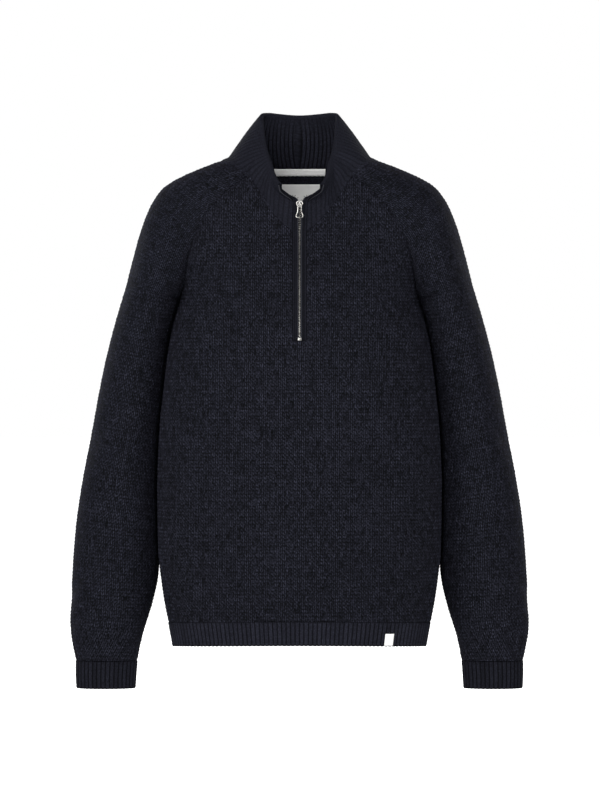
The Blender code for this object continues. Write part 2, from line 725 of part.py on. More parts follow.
def build_slider(seam):
    """The slider's plate and bail in one piece, and the pull that hangs in the bail."""
    front_y = min(point[1] for point, _, _ in zip_edge(seam, ZIP_BOTTOM_Z)
                  if abs(point[2] - SLIDER_Z) < 6)
    plate_front = front_y - PLATE_CLEAR - PLATE_THICK
    hinge = (0, plate_front - BAIL_REACH / 2 + BAIL_WIRE / 2, SLIDER_Z)
    bm = bmesh.new()
    corners = [bm.verts.new(np.array([x, plate_front, SLIDER_Z + z]) * MM)
               for x, z in SLIDER_PLATE]
    face = bm.faces.new(corners)
    moved = bmesh.ops.extrude_face_region(bm, geom=[face])["geom"]
    bmesh.ops.translate(bm, vec=(0, PLATE_THICK * MM, 0),
                        verts=[v for v in moved if isinstance(v, bmesh.types.BMVert)])
    body = add_object("zip_slider", bm, METAL)
    low, high = SLIDER_Z + BAIL_HEIGHTS[0], SLIDER_Z + BAIL_HEIGHTS[1]
    far = plate_front - BAIL_REACH
    loops = []
    for inset, near in ((0, plate_front + PLATE_THICK / 2), (BAIL_WIRE, plate_front - BAIL_BITE)):
        loop = [(near, low + inset), (far + inset, low + inset), (far + inset, high - inset),
                (near, high - inset)]
        loops.append(np.array([[(x, y, z) for y, z in loop + loop[:1]]
                               for x in (-BAIL_WIDTH / 2, BAIL_WIDTH / 2)], float))
    bail = wall("slider_bail_shape", loops[0], loops[1], METAL, closed_from=0)
    bail.hide_render = True
    bail.display_type = "WIRE"
    join = body.modifiers.new("bail", "BOOLEAN")
    join.operation = "UNION"
    join.object = bail
    plate("zip_pull", PULL_OUTLINE, PULL_WINDOW, PULL_THICK, METAL, hinge)
    stop_y = torso_point(ZIP_BOTTOM_Z, 0, FRONT)[1]
    block("zip_stop", (-STOP_HALF_WIDTH, stop_y + TEETH[0], SLIT_BOTTOM_Z + 2 * GAP),
          (STOP_HALF_WIDTH, stop_y + TEETH[1], ZIP_BOTTOM_Z - 3 * GAP), METAL)


def patch(name, face, ways, heights, depth, lean=0):
    """A thin white piece laid flat on a panel, from its ways round, heights and depth."""
    places = [[(z, way + lean * (z - heights[0])) for way in ways] for z in heights]
    wall(name, torso_layer(places, face, depth), torso_layer(places, face, depth + PATCH), LABEL)


def build_labels():
    for name, (half, heights) in (("neck_tape", NECK_TAPE), ("neck_label", NECK_LABEL)):
        patch(name, BACK, np.linspace(-half, half, PATCH_COLUMNS + 1), heights, BEHIND)
    patch("hem_label", FRONT, *HEM_LABEL, -(RIB_RELIEF + GAP + PATCH), HEM_LABEL_LEAN)


def main():
    for old in list(bpy.data.objects):
        bpy.data.objects.remove(old)
    build_panel("front", FRONT)
    build_panel("back", BACK)
    build_sleeves()
    build_hem("hem_rib_front", FRONT)
    build_hem("hem_rib_back", BACK)
    build_cuffs()
    seam = neck_seam()
    build_collar(seam)
    build_zip(seam)
    build_slider(seam)
    build_labels()


main()
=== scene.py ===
"""Quarter zip sweater: knitted cloth, ribbing, collar, zip, labels and a plain stage.

Each knitted piece is first made flat, as it comes off the machine, with its stitches standing
up from it. It is then trimmed to its cut and laid on the form of the worn sweater. Tables are
in millimetres, +Z is up, the front faces -Y and the wearer's left side is +X.
"""

import json
import math
from functools import lru_cache

import bmesh
import bpy
import numpy as np
from bpy.props import FloatProperty, FloatVectorProperty, PointerProperty
from bpy.types import Operator, Panel, PropertyGroup
from mathutils import Matrix, Vector

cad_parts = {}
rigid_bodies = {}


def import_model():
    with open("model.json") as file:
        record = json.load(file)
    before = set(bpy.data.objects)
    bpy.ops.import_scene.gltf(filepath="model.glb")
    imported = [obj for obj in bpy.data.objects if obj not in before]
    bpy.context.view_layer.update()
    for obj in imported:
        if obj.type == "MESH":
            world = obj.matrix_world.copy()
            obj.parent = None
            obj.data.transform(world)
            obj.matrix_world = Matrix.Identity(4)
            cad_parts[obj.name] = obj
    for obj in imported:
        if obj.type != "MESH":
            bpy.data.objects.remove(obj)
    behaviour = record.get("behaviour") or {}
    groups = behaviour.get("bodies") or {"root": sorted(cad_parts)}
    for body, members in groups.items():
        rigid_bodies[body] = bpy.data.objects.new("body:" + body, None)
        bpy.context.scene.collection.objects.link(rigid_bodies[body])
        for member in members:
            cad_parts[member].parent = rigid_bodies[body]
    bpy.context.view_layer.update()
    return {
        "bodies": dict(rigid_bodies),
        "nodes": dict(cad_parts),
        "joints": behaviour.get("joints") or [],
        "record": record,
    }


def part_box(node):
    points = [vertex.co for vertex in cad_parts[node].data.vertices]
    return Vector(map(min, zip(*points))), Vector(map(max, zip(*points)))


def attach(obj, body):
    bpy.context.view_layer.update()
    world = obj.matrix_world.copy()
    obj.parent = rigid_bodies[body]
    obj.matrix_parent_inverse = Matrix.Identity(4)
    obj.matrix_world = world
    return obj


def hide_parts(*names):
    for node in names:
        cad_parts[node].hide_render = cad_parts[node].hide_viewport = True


bl_info = {
    "name": "Quarter Zip Sweater",
    "version": (1, 0, 0),
    "blender": (4, 5, 0),
    "location": "3D View > Sidebar > Sweater",
    "description": "Knitted cloth, ribbing, zip, labels and a plain stage for a sweater",
    "category": "Object",
}

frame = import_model()

MM = 0.001
FRONT, BACK = -1, 1
BODY, PULL_BODY = "sweater", "pull"

# ---------------------------------------------------------------- sizes shared with the solids
CLOTH = 2.6
RIB_CLOTH = 3.0
COLLAR_CLOTH = 5.2
SEAM = 0.03
GAP = 0.3
ARM_CLEAR = 4.0

HEM_TOP_Z = -646.0
HEM_RIB = 32.5
HEM_FRONT_LIFT = 5.5
CUFF_TOP_Z = -700.0
CUFF_RIB = 38.0

ZIP_HALF_OPENING = 9.0
ZIP_BOTTOM_Z = -250.0
SLIT_BOTTOM_Z = -255.0
SLIDER_Z = -65.0
EDGE_STRIP = 6.5
STRIP = 1.8
WOVEN_TAPE = 1.0

TORSO_ROUNDNESS = 2.25

# The body's sections: height, half width, depth of the widest line, front, back
TORSO = (
    (-684, 176, -12, -112, 110), (-650, 182, -13, -118, 113), (-600, 191, -15, -128, 119),
    (-540, 197, -18, -135, 124), (-460, 198, -21, -138, 126), (-381, 195, -24, -138, 127),
    (-311, 188, -25, -135, 128), (-255, 181, -19, -127, 128), (-215, 172, -8, -117, 126),
    (-195, 167, 0, -110, 124), (-165, 169, 4, -98, 120), (-138, 174, 6, -86, 114),
    (-101, 178, 8, -68, 104), (-67, 174, 10, -60, 92), (-42, 166, 11, -52, 82),
    (-21, 150, 12, -44.5, 71), (-6, 125, 12, -38, 62), (6, 95, 12, -32, 54),
)

# Raglan seams: height and distance from the centre line, from underarm to neck.
UNDERARM_Z = -195.0
RAGLAN = {
    FRONT: ((-195, 167), (-180, 162), (-160, 158.5), (-133, 154.5), (-108, 146), (-74, 128),
            (-45, 100), (-22, 69)),
    BACK: ((-195, 167), (-180, 162), (-160, 157), (-133, 150.5), (-101, 140), (-67, 124),
           (-36, 104), (-4, 76)),
}
NECK_CENTRE_Z = {FRONT: -99.0, BACK: -8.0}
NECK_CURVE = 1.55
RAGLAN_LENGTH = 245.0

# The sleeve's top line, from the neck over the shoulder: x, y, z
SHOULDER = (
    (101, 4, 1.5), (121.8, 6, -5.6), (150.5, 8, -16.8), (174.3, 10, -28), (191.1, 11, -39.2),
    (200.2, 11, -50.4), (207.2, 11, -61.6), (217, 11, -84), (226, 11, -112), (234, 11, -142),
    (243, 10, -178),
)
NECK_HALF_DEPTH = 50.0

# The hanging sleeve: outer x, outer z, inner x, inner z, middle y, half depth
SLEEVE = (
    (243, -178, 167.3, -195, 10, 71), (259, -231, 177, -248, 12, 69),
    (277, -305, 186, -325, 14, 67), (290, -375, 191, -394, 16, 65),
    (304, -447, 193, -463, 17, 63), (314, -517, 194, -530, 16, 60),
    (318, -572, 198, -580, 14, 55), (321, -630, 211, -637, 9, 47),
    (320.5, -664, 221, -669, 5, 40), (313, -699.8, 227, -699.8, 1, 30),
)

# The cuff: height, outer x, inner x, middle y, half depth
CUFF = ((-700, 312.5, 227.5, 1, 28), (-719, 312.5, 229, 0, 27), (-738, 311.5, 230, 0, 26.5))

# The collar's top edge: share of the way from the front corner to the back, x, y, z
COLLAR_RIM = (
    (0.00, 33, -74, -37), (0.07, 38, -60, -27), (0.20, 40, -46, -9), (0.32, 43, -31, 8),
    (0.46, 47.5, -10, 32), (0.58, 52, 9, 56), (0.66, 54, 20, 65.5), (0.73, 51.5, 29, 69.5),
    (0.80, 44, 37, 70), (0.88, 29, 43, 68.5), (1.00, 0, 47, 66.5), (1.12, -29, 43, 68.5),
)
# The collar's front edge: share of the height, x, y, z
COLLAR_FRONT = (
    (0.00, 9, -67, -96), (0.25, 9, -69, -79), (0.46, 9.2, -70, -64), (0.62, 18.5, -71.5, -57.5),
    (0.80, 29.5, -73, -49), (1.00, 33, -74, -37),
)
# Folds of the standing collar on each side: ways round from the zip and up, width, depth.
COLLAR_FOLDS = {
    1: ((34, 2, 60, 46, 12, 3.6), (96, 10, 80, 48, 17, 2.0), (204, 8, 196, 44, 15, 1.6)),
    -1: ((46, 2, 62, 28, 9, 2.0), (112, 8, 96, 50, 16, 2.2), (222, 6, 216, 50, 14, 1.4)),
}
COLLAR_WAY, COLLAR_HEIGHT = 258.0, 64.0
COLLAR_LEAN = 2.4        # the open front leans this far to the wearer's left
COLLAR_LEAN_REACH = 0.30
COLLAR_OPEN_FROM = 0.46
COLLAR_FRONT_REACH = 0.10
COLLAR_SWELL = 4.0
COLLAR_LIFT = 1.1
ZIP_TURN = 0.4
FOLD_BACK_RISE = 0.12    # the open zip turns back over this share of the collar's height
FOLD_DEEP = 4.4          # there it lies between the collar's two layers

# Broad soft folds: x from, z from, x to, z to, width, depth. A minus depth stands out.
FOLDS = {
    FRONT: (
        (-106, -296, -112, -470, 26, 3.2), (-118, -470, -146, -548, 22, 2.4),
        (102, -366, 98, -604, 28, 3.0), (12, -296, 34, -384, 34, 1.8),
        (-60, -560, 20, -604, 30, 1.6), (-150, -214, -96, -262, 13, 2.0),
        (152, -222, 104, -282, 14, 2.2), (-168, -560, -120, -618, 12, 1.6),
        (150, -596, 96, -628, 12, 1.6), (40, -470, 60, -590, 22, -1.2),
        (-30, -400, -40, -520, 26, -1.2), (-70, -128, -40, -190, 16, 1.2),
        (74, -140, 46, -214, 16, 1.4), (76, -4, 46, -76, 12, 3.4),
        (-66, -20, -48, -64, 9, 2.0),
    ),
    BACK: (
        (88, -300, 120, -520, 30, 3.2), (-96, -350, -84, -590, 28, 3.0),
        (-20, -560, 60, -600, 32, 1.8), (-156, -224, -92, -276, 14, 2.2),
        (150, -216, 88, -250, 13, 2.0), (10, -240, -6, -420, 30, 1.6),
        (-150, -580, -90, -622, 12, 1.6), (30, -430, 22, -560, 24, -1.4),
    ),
}
# Round a sleeve (0 outer line, -1 and 1 the underarm) and height:
#  round from, z from, round to, z to, width as a share, depth
SLEEVE_FOLDS = {
    1: (
        (-0.62, -300, -0.18, -392, 0.16, 2.6), (-0.70, -420, -0.30, -470, 0.14, 2.4),
        (-0.34, -556, -0.06, -610, 0.14, 2.2), (0.66, -330, 0.20, -420, 0.16, 2.6),
        (0.60, -500, 0.24, -560, 0.14, 2.2), (-0.80, -236, -0.44, -262, 0.10, 2.2),
        (-0.60, -640, -0.20, -662, 0.10, 2.0), (0.10, -636, 0.44, -668, 0.12, 1.8),
    ),
    -1: (
        (-0.62, -300, -0.18, -392, 0.16, 2.4), (-0.70, -420, -0.30, -470, 0.14, 2.0),
        (-0.34, -556, -0.06, -610, 0.14, 2.6), (0.66, -330, 0.20, -420, 0.16, 2.6),
        (0.60, -500, 0.24, -560, 0.14, 2.2), (-0.84, -252, -0.50, -286, 0.10, 2.0),
        (-0.50, -616, -0.10, -650, 0.11, 2.4), (0.20, -620, 0.50, -660, 0.12, 1.8),
    ),
}
SLEEVE_FOLD_HEIGHT = 30.0

HEM_RIBS = 76
CUFF_RIBS = 36
COLLAR_RIBS = 42
SEAM_ROWS = 9
SLEEVE_ROWS = 13
SLEEVE_STEPS = 6

# White patches with nothing on them: half width or ways round, heights upwards.
NECK_TAPE = (37, (-16.4, -7.4))
TAPE_PROUD = 0.6
NECK_LABEL = (29, (-55, -29))
HEM_LABEL = ((118.5, 131.5), (-674, -658))
HEM_LABEL_LEAN = 0.12
PATCH = 0.8
BEHIND = CLOTH + 2.6 * GAP
# Along a raglan seam the worn cloth is drawn smooth from the body to the sleeve.
RAGLAN_LIFT = {FRONT: 6.0, BACK: 4.0}
RAGLAN_LIFT_REACH = 34.0


# ---------------------------------------------------------------- reading tables and grids
def smooth_way(a, b, start, end, t):
    """Values from a to b as t goes from 0 to 1, with the slopes at its start and end."""
    return ((1 + 2 * t) * (1 - t) ** 2 * a + t * (1 - t) ** 2 * start
            + t * t * (3 - 2 * t) * b + t * t * (t - 1) * end)


class Table:
    """A table read by its first column, with a smooth curve that never overshoots."""

    def __init__(self, rows):
        data = np.array(rows, float)
        self.at, self.values = data[:, 0], data[:, 1:]
        step = np.diff(self.at)[:, None]
        rise = np.diff(self.values, axis=0) / step
        slope = np.zeros_like(self.values)
        slope[0], slope[-1] = rise[0], rise[-1]
        before, after = rise[:-1], rise[1:]
        near, far = 2 * step[1:] + step[:-1], step[1:] + 2 * step[:-1]
        same = before * after > 0
        safe = np.where(same, before, 1.0), np.where(same, after, 1.0)
        slope[1:-1] = np.where(same, (near + far) / (near / safe[0] + far / safe[1]), 0)
        self.slope = slope

    def __call__(self, x):
        x = np.asarray(x, float)
        k = np.clip(np.searchsorted(self.at, x) - 1, 0, len(self.at) - 2)
        step = (self.at[k + 1] - self.at[k])[..., None]
        t = np.clip((x - self.at[k])[..., None] / step, 0, 1)
        return smooth_way(self.values[k], self.values[k + 1], step * self.slope[k],
                          step * self.slope[k + 1], t)


def distances(points):
    """The way along a line of points, from 0."""
    steps = np.linalg.norm(np.diff(points, axis=0), axis=1)
    return np.concatenate([[0], np.cumsum(steps)])


def row_heights(points):
    """The way up a grid of points from its first row, as the mean over its columns."""
    steps = np.linalg.norm(np.diff(points, axis=0), axis=2).mean(axis=1)
    return np.concatenate([[0], np.cumsum(steps)])


def spread(at, way, rows):
    """Rows of numbers that lie at some ways along a line, read at others."""
    return np.column_stack([np.interp(at, way, column) for column in rows.T])


def along(points):
    """A table of points read by the share of the way along them, from 0 to 1."""
    points = np.array(points, float)
    way = distances(points)
    return Table(np.column_stack([way / way[-1], points]))


def unit(vectors):
    """Vectors of length 1 that point the same ways."""
    return vectors / np.linalg.norm(vectors, axis=-1, keepdims=True)


def sample(grid, row, column):
    """Values of a grid at places between its points."""
    rows, columns = grid.shape[:2]
    row = np.clip(row, 0, rows - 1.000001)
    column = np.clip(column, 0, columns - 1.000001)
    r, c = row.astype(int), column.astype(int)
    down, across = (row - r)[:, None], (column - c)[:, None]
    above = grid[r, c] * (1 - across) + grid[r, c + 1] * across
    below = grid[r + 1, c] * (1 - across) + grid[r + 1, c + 1] * across
    return above * (1 - down) + below * down


TORSO_AT = Table(TORSO)
RAGLAN_AT = {face: Table(rows) for face, rows in RAGLAN.items()}
SHOULDER_AT = along(SHOULDER)
SLEEVE_AT = along(SLEEVE)
CUFF_AT = along(CUFF)
RIM_AT = Table(COLLAR_RIM)
COLLAR_FRONT_AT = Table(COLLAR_FRONT)


# ---------------------------------------------------------------- the worn form
class Form:
    """A surface that flat cloth is laid on: rows of points, read by height and way across."""

    def __init__(self, heights, halves, edges, points, normals):
        self.heights, self.halves, self.edges = heights, halves, edges
        self.points, self.normals = points, normals

    def edge(self, height):
        """The way from the middle to the seam at a height."""
        return np.interp(height, self.heights, self.edges)

    def lay(self, flat):
        """Places in space for flat places: across, along, and out of the surface."""
        flat = np.atleast_2d(np.asarray(flat, float))
        point, normal = self.read(flat)
        return point + normal * flat[:, 2:3]

    def read(self, flat):
        """The surface's points and normals under flat places."""
        rows, columns = self.points.shape[:2]
        row = np.interp(flat[:, 1], self.heights, np.arange(rows))
        half = np.interp(flat[:, 1], self.heights, self.halves)
        column = (np.clip(flat[:, 0] / half, -1, 1) + 1) / 2 * (columns - 1)
        return sample(self.points, row, column), unit(sample(self.normals, row, column))


SHARES = np.linspace(-1, 1, 121)
QUARTER = np.linspace(math.pi / 2, 0, 181)


def fold_depth(x, z, folds):
    """How far the cloth sinks at each place, from a table of folds."""
    depth = np.zeros(np.broadcast(x, z).shape)
    for x0, z0, x1, z1, width, deep in folds:
        run_x, run_z = x1 - x0, z1 - z0
        t = ((x - x0) * run_x + (z - z0) * run_z) / (run_x ** 2 + run_z ** 2)
        t = np.clip(t, 0, 1)
        away = np.hypot(x - x0 - t * run_x, z - z0 - t * run_z) / width
        depth += deep * np.exp(-2 * away ** 2) * np.sin(math.pi * (0.15 + 0.7 * t))
    return depth


@lru_cache(maxsize=None)
def torso_form(face):
    """The front or the back of the body, from below the hem to the neck."""
    heights = np.linspace(-690, 5, 151)
    half_width, side, front, back = TORSO_AT(heights).T
    depth = side - front if face == FRONT else back - side
    power = 2 / TORSO_ROUNDNESS
    ring_x = half_width[:, None] * np.maximum(np.cos(QUARTER), 0) ** power
    ring_x[:, 0] = 0
    ring_y = side[:, None] + face * depth[:, None] * np.maximum(np.sin(QUARTER), 0) ** power
    halves, edges = np.zeros(len(heights)), np.zeros(len(heights))
    x, y = np.zeros((2, len(heights), len(SHARES)))
    for i, height in enumerate(heights):
        way = distances(np.column_stack([ring_x[i], ring_y[i]]))
        halves[i] = edges[i] = way[-1]
        if height > UNDERARM_Z:
            edges[i] = np.interp(RAGLAN_AT[face](height)[0], ring_x[i], way)
        at = np.abs(SHARES) * way[-1]
        x[i] = np.interp(at, way, ring_x[i]) * np.sign(SHARES)
        y[i] = np.interp(at, way, ring_y[i])
    z = np.repeat(heights[:, None], len(SHARES), axis=1)
    sink = fold_depth(halves[:, None] * SHARES, z, FOLDS[face])
    climb = np.clip((heights - UNDERARM_Z) / (RAGLAN[face][-1][0] - UNDERARM_Z), 0, 1)
    near = (edges[:, None] - halves[:, None] * np.abs(SHARES)) / RAGLAN_LIFT_REACH
    lift = RAGLAN_LIFT[face] * np.sin(math.pi * climb)[:, None] * np.exp(-near ** 2)
    points = np.stack([x, y - face * (sink - lift), z], axis=2)
    power = TORSO_ROUNDNESS - 1
    wide, deep = half_width[:, None], depth[:, None]
    out_x = np.sign(x) * np.minimum(np.abs(x) / wide, 1) ** power / wide
    out_y = face * np.minimum(np.abs(y - side[:, None]) / deep, 1) ** power / deep
    across = np.stack([-out_y, out_x, np.zeros_like(out_x)], axis=2)
    normals = unit(np.cross(across, np.gradient(points, axis=0)))
    return Form(heights, halves, edges, points, normals)


@lru_cache(maxsize=None)
def raglan_line(face):
    """A raglan seam as a table of points, read by the share from the underarm to the neck."""
    form = torso_form(face)
    z = np.linspace(UNDERARM_Z, RAGLAN[face][-1][0], 200)
    return along(form.lay(np.column_stack([form.edge(z), z, np.zeros(200)])))


def ring_points(centre, outer, depth, angle):
    """An oval round a sleeve, by the angle from its outer line."""
    swing = (outer - centre) * np.cos(angle)[:, None]
    return centre + swing + np.outer(depth * np.sin(angle), (0, 1, 0))


def pulled(ring, turns, front, back, power):
    """The ring with its two ends brought to the seam, the rest following less and less."""
    miss = np.where(turns[:, None] < 0, front - ring[0], back - ring[-1])
    return ring + miss * (np.abs(turns) ** power)[:, None]


def open_ring(share, turns):
    """A ring of the shoulder part, from the front raglan seam round to the back one."""
    front, back = raglan_line(FRONT)(share), raglan_line(BACK)(share)
    outer = SHOULDER_AT(1 - share)
    half = (back[1] - front[1]) / 2
    widest = SLEEVE[0][5] - NECK_HALF_DEPTH
    depth = max(half, NECK_HALF_DEPTH + widest * (1 - share) ** 0.6)
    turn = math.pi - math.asin(min(1.0, half / depth))
    centre = ((front + back) / 2 - outer * math.cos(turn)) / (1 - math.cos(turn))
    ring = ring_points(centre, outer, depth, turns * turn)
    blend = np.clip(share * SEAM_ROWS, 0, 1) ** 2
    if blend < 1:
        ring = pulled(ring, turns, front, back, 2) * blend + closed_ring(0, turns) * (1 - blend)
    return pulled(ring, turns, front, back, 2 + 6 * (1 - blend))


def torso_half_width(y, z):
    """How far the body's side stands from the centre line at each depth and height."""
    half_width, side, front, back = TORSO_AT(z).T
    depth = np.where(y < side, side - front, back - side)
    inside = np.maximum(1 - np.abs((y - side) / depth) ** TORSO_ROUNDNESS, 0)
    return half_width * inside ** (1 / TORSO_ROUNDNESS)


def closed_ring(share, turns):
    """A ring of the hanging part, kept clear of the body."""
    ox, oz, ix, iz, y, depth = SLEEVE_AT(share)
    outer, inner = np.array([ox, y, oz]), np.array([ix, y, iz])
    ring = ring_points((outer + inner) / 2, outer, depth, turns * math.pi)
    clear = SEAM + ARM_CLEAR * min(1.0, share * 12)
    ring[:, 0] = np.maximum(ring[:, 0], torso_half_width(ring[:, 1], ring[:, 2]) + clear)
    fading = max(0.0, 1 - share * 6)
    underarm = raglan_line(FRONT)(0)
    shift = (underarm - ring[0]) * fading
    return ring + shift * (np.abs(turns) ** 8)[:, None]


def smoothed_rows(grid, steps):
    """The grid with smooth rows put in between its own."""
    last = len(grid) - 1
    rows = []
    for i in range(last):
        a, b = grid[i], grid[i + 1]
        before, after = grid[max(i - 1, 0)], grid[min(i + 2, last)]
        for t in np.arange(steps) / steps:
            rows.append(smooth_way(a, b, (b - before) / 2, (after - a) / 2, t))
    return np.array(rows + [grid[last]])


@lru_cache(maxsize=None)
def sleeve_form(side):
    """A sleeve from the wrist up to the neck, side 1 for the wearer's left and -1 the right."""
    turns = np.linspace(-1, 1, 73)
    ring_from = SEAM_ROWS * SLEEVE_STEPS
    hanging = [closed_ring(i / SLEEVE_ROWS, turns) for i in range(SLEEVE_ROWS + 1)]
    grid = np.concatenate([[open_ring(1 - i / ring_from, turns) for i in range(ring_from)],
                           smoothed_rows(np.array(hanging), SLEEVE_STEPS)])
    across = np.gradient(grid, axis=1)
    across[ring_from:, 0] = across[ring_from:, -1] = (grid[:, 1] - grid[:, -2])[ring_from:]
    normals = unit(np.cross(np.gradient(grid, axis=0), across))
    z = grid[..., 2]
    sink = np.zeros(z.shape)
    for turn0, z0, turn1, z1, width, deep in SLEEVE_FOLDS[side]:
        t = np.clip((z - z0) / (z1 - z0), 0, 1)
        off = (turns[None] - turn0 - t * (turn1 - turn0)) / width
        sink += deep * np.exp(-2 * (off ** 2 + ((z - z0 - t * (z1 - z0))
                                               / SLEEVE_FOLD_HEIGHT) ** 2))
    grid = grid - normals * sink[..., None]
    even, even_normals, halves = [], [], []
    for row, normal in zip(grid, normals):
        way = distances(row)
        middle = way[len(turns) // 2]
        at = np.where(SHARES < 0, middle * (1 + SHARES), middle + (way[-1] - middle) * SHARES)
        even.append(spread(at, way, row))
        even_normals.append(spread(at, way, normal))
        halves.append(way[-1] / 2)
    points, normals = np.array(even)[::-1], np.array(even_normals)[::-1]
    halves = np.array(halves)[::-1]
    mirror = np.array([side, 1, 1])
    return Form(row_heights(points), halves, halves, points * mirror, normals * mirror)


def neckline_height(face, share):
    """The neck seam's height, by the share of the way from the centre to the raglan seam."""
    side_z = RAGLAN[face][-1][0]
    return NECK_CENTRE_Z[face] + (side_z - NECK_CENTRE_Z[face]) * share ** NECK_CURVE


@lru_cache(maxsize=None)
def neck_seam(drop=0.0):
    """The neck seam on the wearer's left, from the zip's slit round to the centre back.

    With a drop it is the line that runs that far below the seam.
    """
    points = []
    for face, shares in ((FRONT, np.linspace(0, 1, 25)), (BACK, np.linspace(1, 0, 25))):
        form = torso_form(face)
        edge = form.edge(RAGLAN[face][-1][0])
        if face == BACK:
            points += list(open_ring(1.0 - drop / RAGLAN_LENGTH, np.linspace(-1, 1, 33)[1:-1]))
        first = ZIP_HALF_OPENING / edge if face == FRONT else 0
        shares = first + (1 - first) * shares
        height = neckline_height(face, shares) - drop
        points += list(form.lay(np.column_stack([shares * edge, height, shares * 0])))
    return along(points)


def collar_point(u, v, side):
    """The collar's outer surface: u from the zip to the centre back, v from seam to top.

    It is given as on the wearer's left; the open front leans that way on both sides.
    """
    base, rim = neck_seam()(u), RIM_AT(u)
    rise = (rim - base) / np.linalg.norm(rim - base)
    base = base + rise * COLLAR_LIFT
    front = COLLAR_FRONT_AT(v) - (1 - v) * COLLAR_FRONT_AT(0) - v * COLLAR_FRONT_AT(1)
    near = math.exp(-(u / COLLAR_FRONT_REACH) ** 2)
    swell = COLLAR_SWELL * (1 - near) * 4 * v * (1 - v) * np.array([rise[2], 0, -rise[0]])
    lean = side * COLLAR_LEAN * v * math.exp(-(u / COLLAR_LEAN_REACH) ** 2)
    return base + (rim - base) * v + front * near + swell + np.array([lean, 0, 0])


def edge_frame(point, up, inward):
    """A place on an edge: the point, the ways inward, up and outward."""
    up = unit(up)
    inward = unit(inward - up * (inward @ up))
    return point, inward, up, np.cross(up, inward)


def collar_edge(v, side):
    """The collar's front edge: a point, and the ways inward, up and outward."""
    point = collar_point(0, v, side)
    up = collar_point(0, v + 0.01, side) - collar_point(0, max(v - 0.01, 0), side)
    band = unit(point - collar_point(0.01, v, side))
    turn = ZIP_TURN * float(np.clip((v - COLLAR_OPEN_FROM) / (1 - COLLAR_OPEN_FROM), 0, 1))
    return edge_frame(point, up, np.array([-1.0, 0, 0]) * (1 - turn) + band * turn)


def folded_edge(v, side):
    """That edge's frame for the zip, which above the slider lies back against the collar."""
    point, inward, up, out = collar_edge(v, side)
    _, to_edge, _, wall = edge_frame(point, up, point - collar_point(0.01, v, side))
    t = float(np.clip((v - COLLAR_OPEN_FROM) / FOLD_BACK_RISE, 0, 1))
    folded = t * t * (3 - 2 * t)
    angle = math.acos(float(np.clip(-inward @ to_edge, -1, 1))) * folded
    way = inward * math.cos(angle) - out * math.sin(angle)
    return point - wall * FOLD_DEEP * folded, way, up, np.cross(up, way)


@lru_cache(maxsize=None)
def zip_frames(bottom, side):
    """Places up the left edge of the opening, from a height to the open corner."""
    form = torso_form(FRONT)
    frames = []
    for z in np.linspace(bottom, NECK_CENTRE_Z[FRONT] - 2, 44):
        point, above = form.lay([(ZIP_HALF_OPENING, z, 0), (ZIP_HALF_OPENING, z + 1, 0)])
        frames.append(edge_frame(point, above - point, np.array([-1.0, 0, 0])))
    return frames + [folded_edge(v, side) for v in np.linspace(0.04, 0.96, 32)]


def zip_form(bottom, low, high, side):
    """The band beside the zip between two ways in from the edge, as a form."""
    mirror = np.array([side, 1, 1])
    frames = zip_frames(bottom, side)
    ways = np.linspace(low, high, 7)
    points = np.array([[point + inward * way for way in ways] for point, inward, *_ in frames])
    normals = np.array([[out] * len(ways) for *_, out in frames])
    heights = distances(np.array([row[0] for row in frames]))
    halves = np.full(len(frames), (high - low) / 2)
    return Form(heights, halves, halves, points * mirror, normals * mirror)


# ---------------------------------------------------------------- meshes
def read(bm):
    """The places of a bmesh's points."""
    return np.array([vert.co for vert in bm.verts])


def write(bm, places):
    """Moves a bmesh's points to new places."""
    for vert, place in zip(bm.verts, places):
        vert.co = place


def finish_mesh(name, bm, finish, body=BODY, uv=None, smooth=True):
    """Turns a bmesh in millimetres into a piece in metres, and makes it ride."""
    mesh = bpy.data.meshes.new(name)
    write(bm, read(bm) * MM)
    bmesh.ops.recalc_face_normals(bm, faces=bm.faces)
    bm.to_mesh(mesh)
    bm.free()
    if smooth:
        mesh.shade_smooth()
    if uv is not None:
        corners = np.zeros(len(mesh.loops), int)
        mesh.loops.foreach_get("vertex_index", corners)
        layer = mesh.uv_layers.new(name="flat")
        layer.uv.foreach_set("vector", (uv[corners] * MM).astype(np.float32).ravel())
    mesh.materials.append(finish)
    piece = bpy.data.objects.new(name, mesh)
    bpy.context.scene.collection.objects.link(piece)
    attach(piece, body)
    return piece


def grid_steps(bm, columns, rows):
    """Adds a flat grid, and gives its new points' columns and rows as whole numbers."""
    made = bmesh.ops.create_grid(bm, x_segments=columns, y_segments=rows, size=0.5)["verts"]
    at = np.array([vert.co for vert in made]) + 0.5
    column = np.rint(at[:, 0] * columns).astype(int)
    row = np.rint(at[:, 1] * rows).astype(int)
    return made, column, row


# ---------------------------------------------------------------- plain knit
# Over a wale, from one edge: edge, leg, middle, leg. Over a course: joint, body of the loop.
STITCH_SLANT = np.array([0.46, 0.0, -0.46, 0.0])
STITCH_RISE = np.array([[0.10, 0.42, 0.02, 0.42], [0.04, 1.00, 0.22, 1.00]])
STITCH_SUNK = 0.35      # share of the relief that lies below the form
LEG_UNEVEN = 0.6        # how much a stitch's two legs differ, against whole stitches
STITCH_STRAY = (0.16, 0.22)  # how far a stitch strays across and along
WALE_STRAY = 0.1        # how far a whole wale strays across
EDGE_ROLL = 2.2         # the cloth turns in over this way from a seam
EDGE_SINK = 0.15
INSIDE_CELL = 14.0      # size of the plain inside's cells
INSIDE_SHADE = 0.45      # how far the plain inside counts as the top of a stitch, in the painted shade
OUTLINE_STEP = 0.4


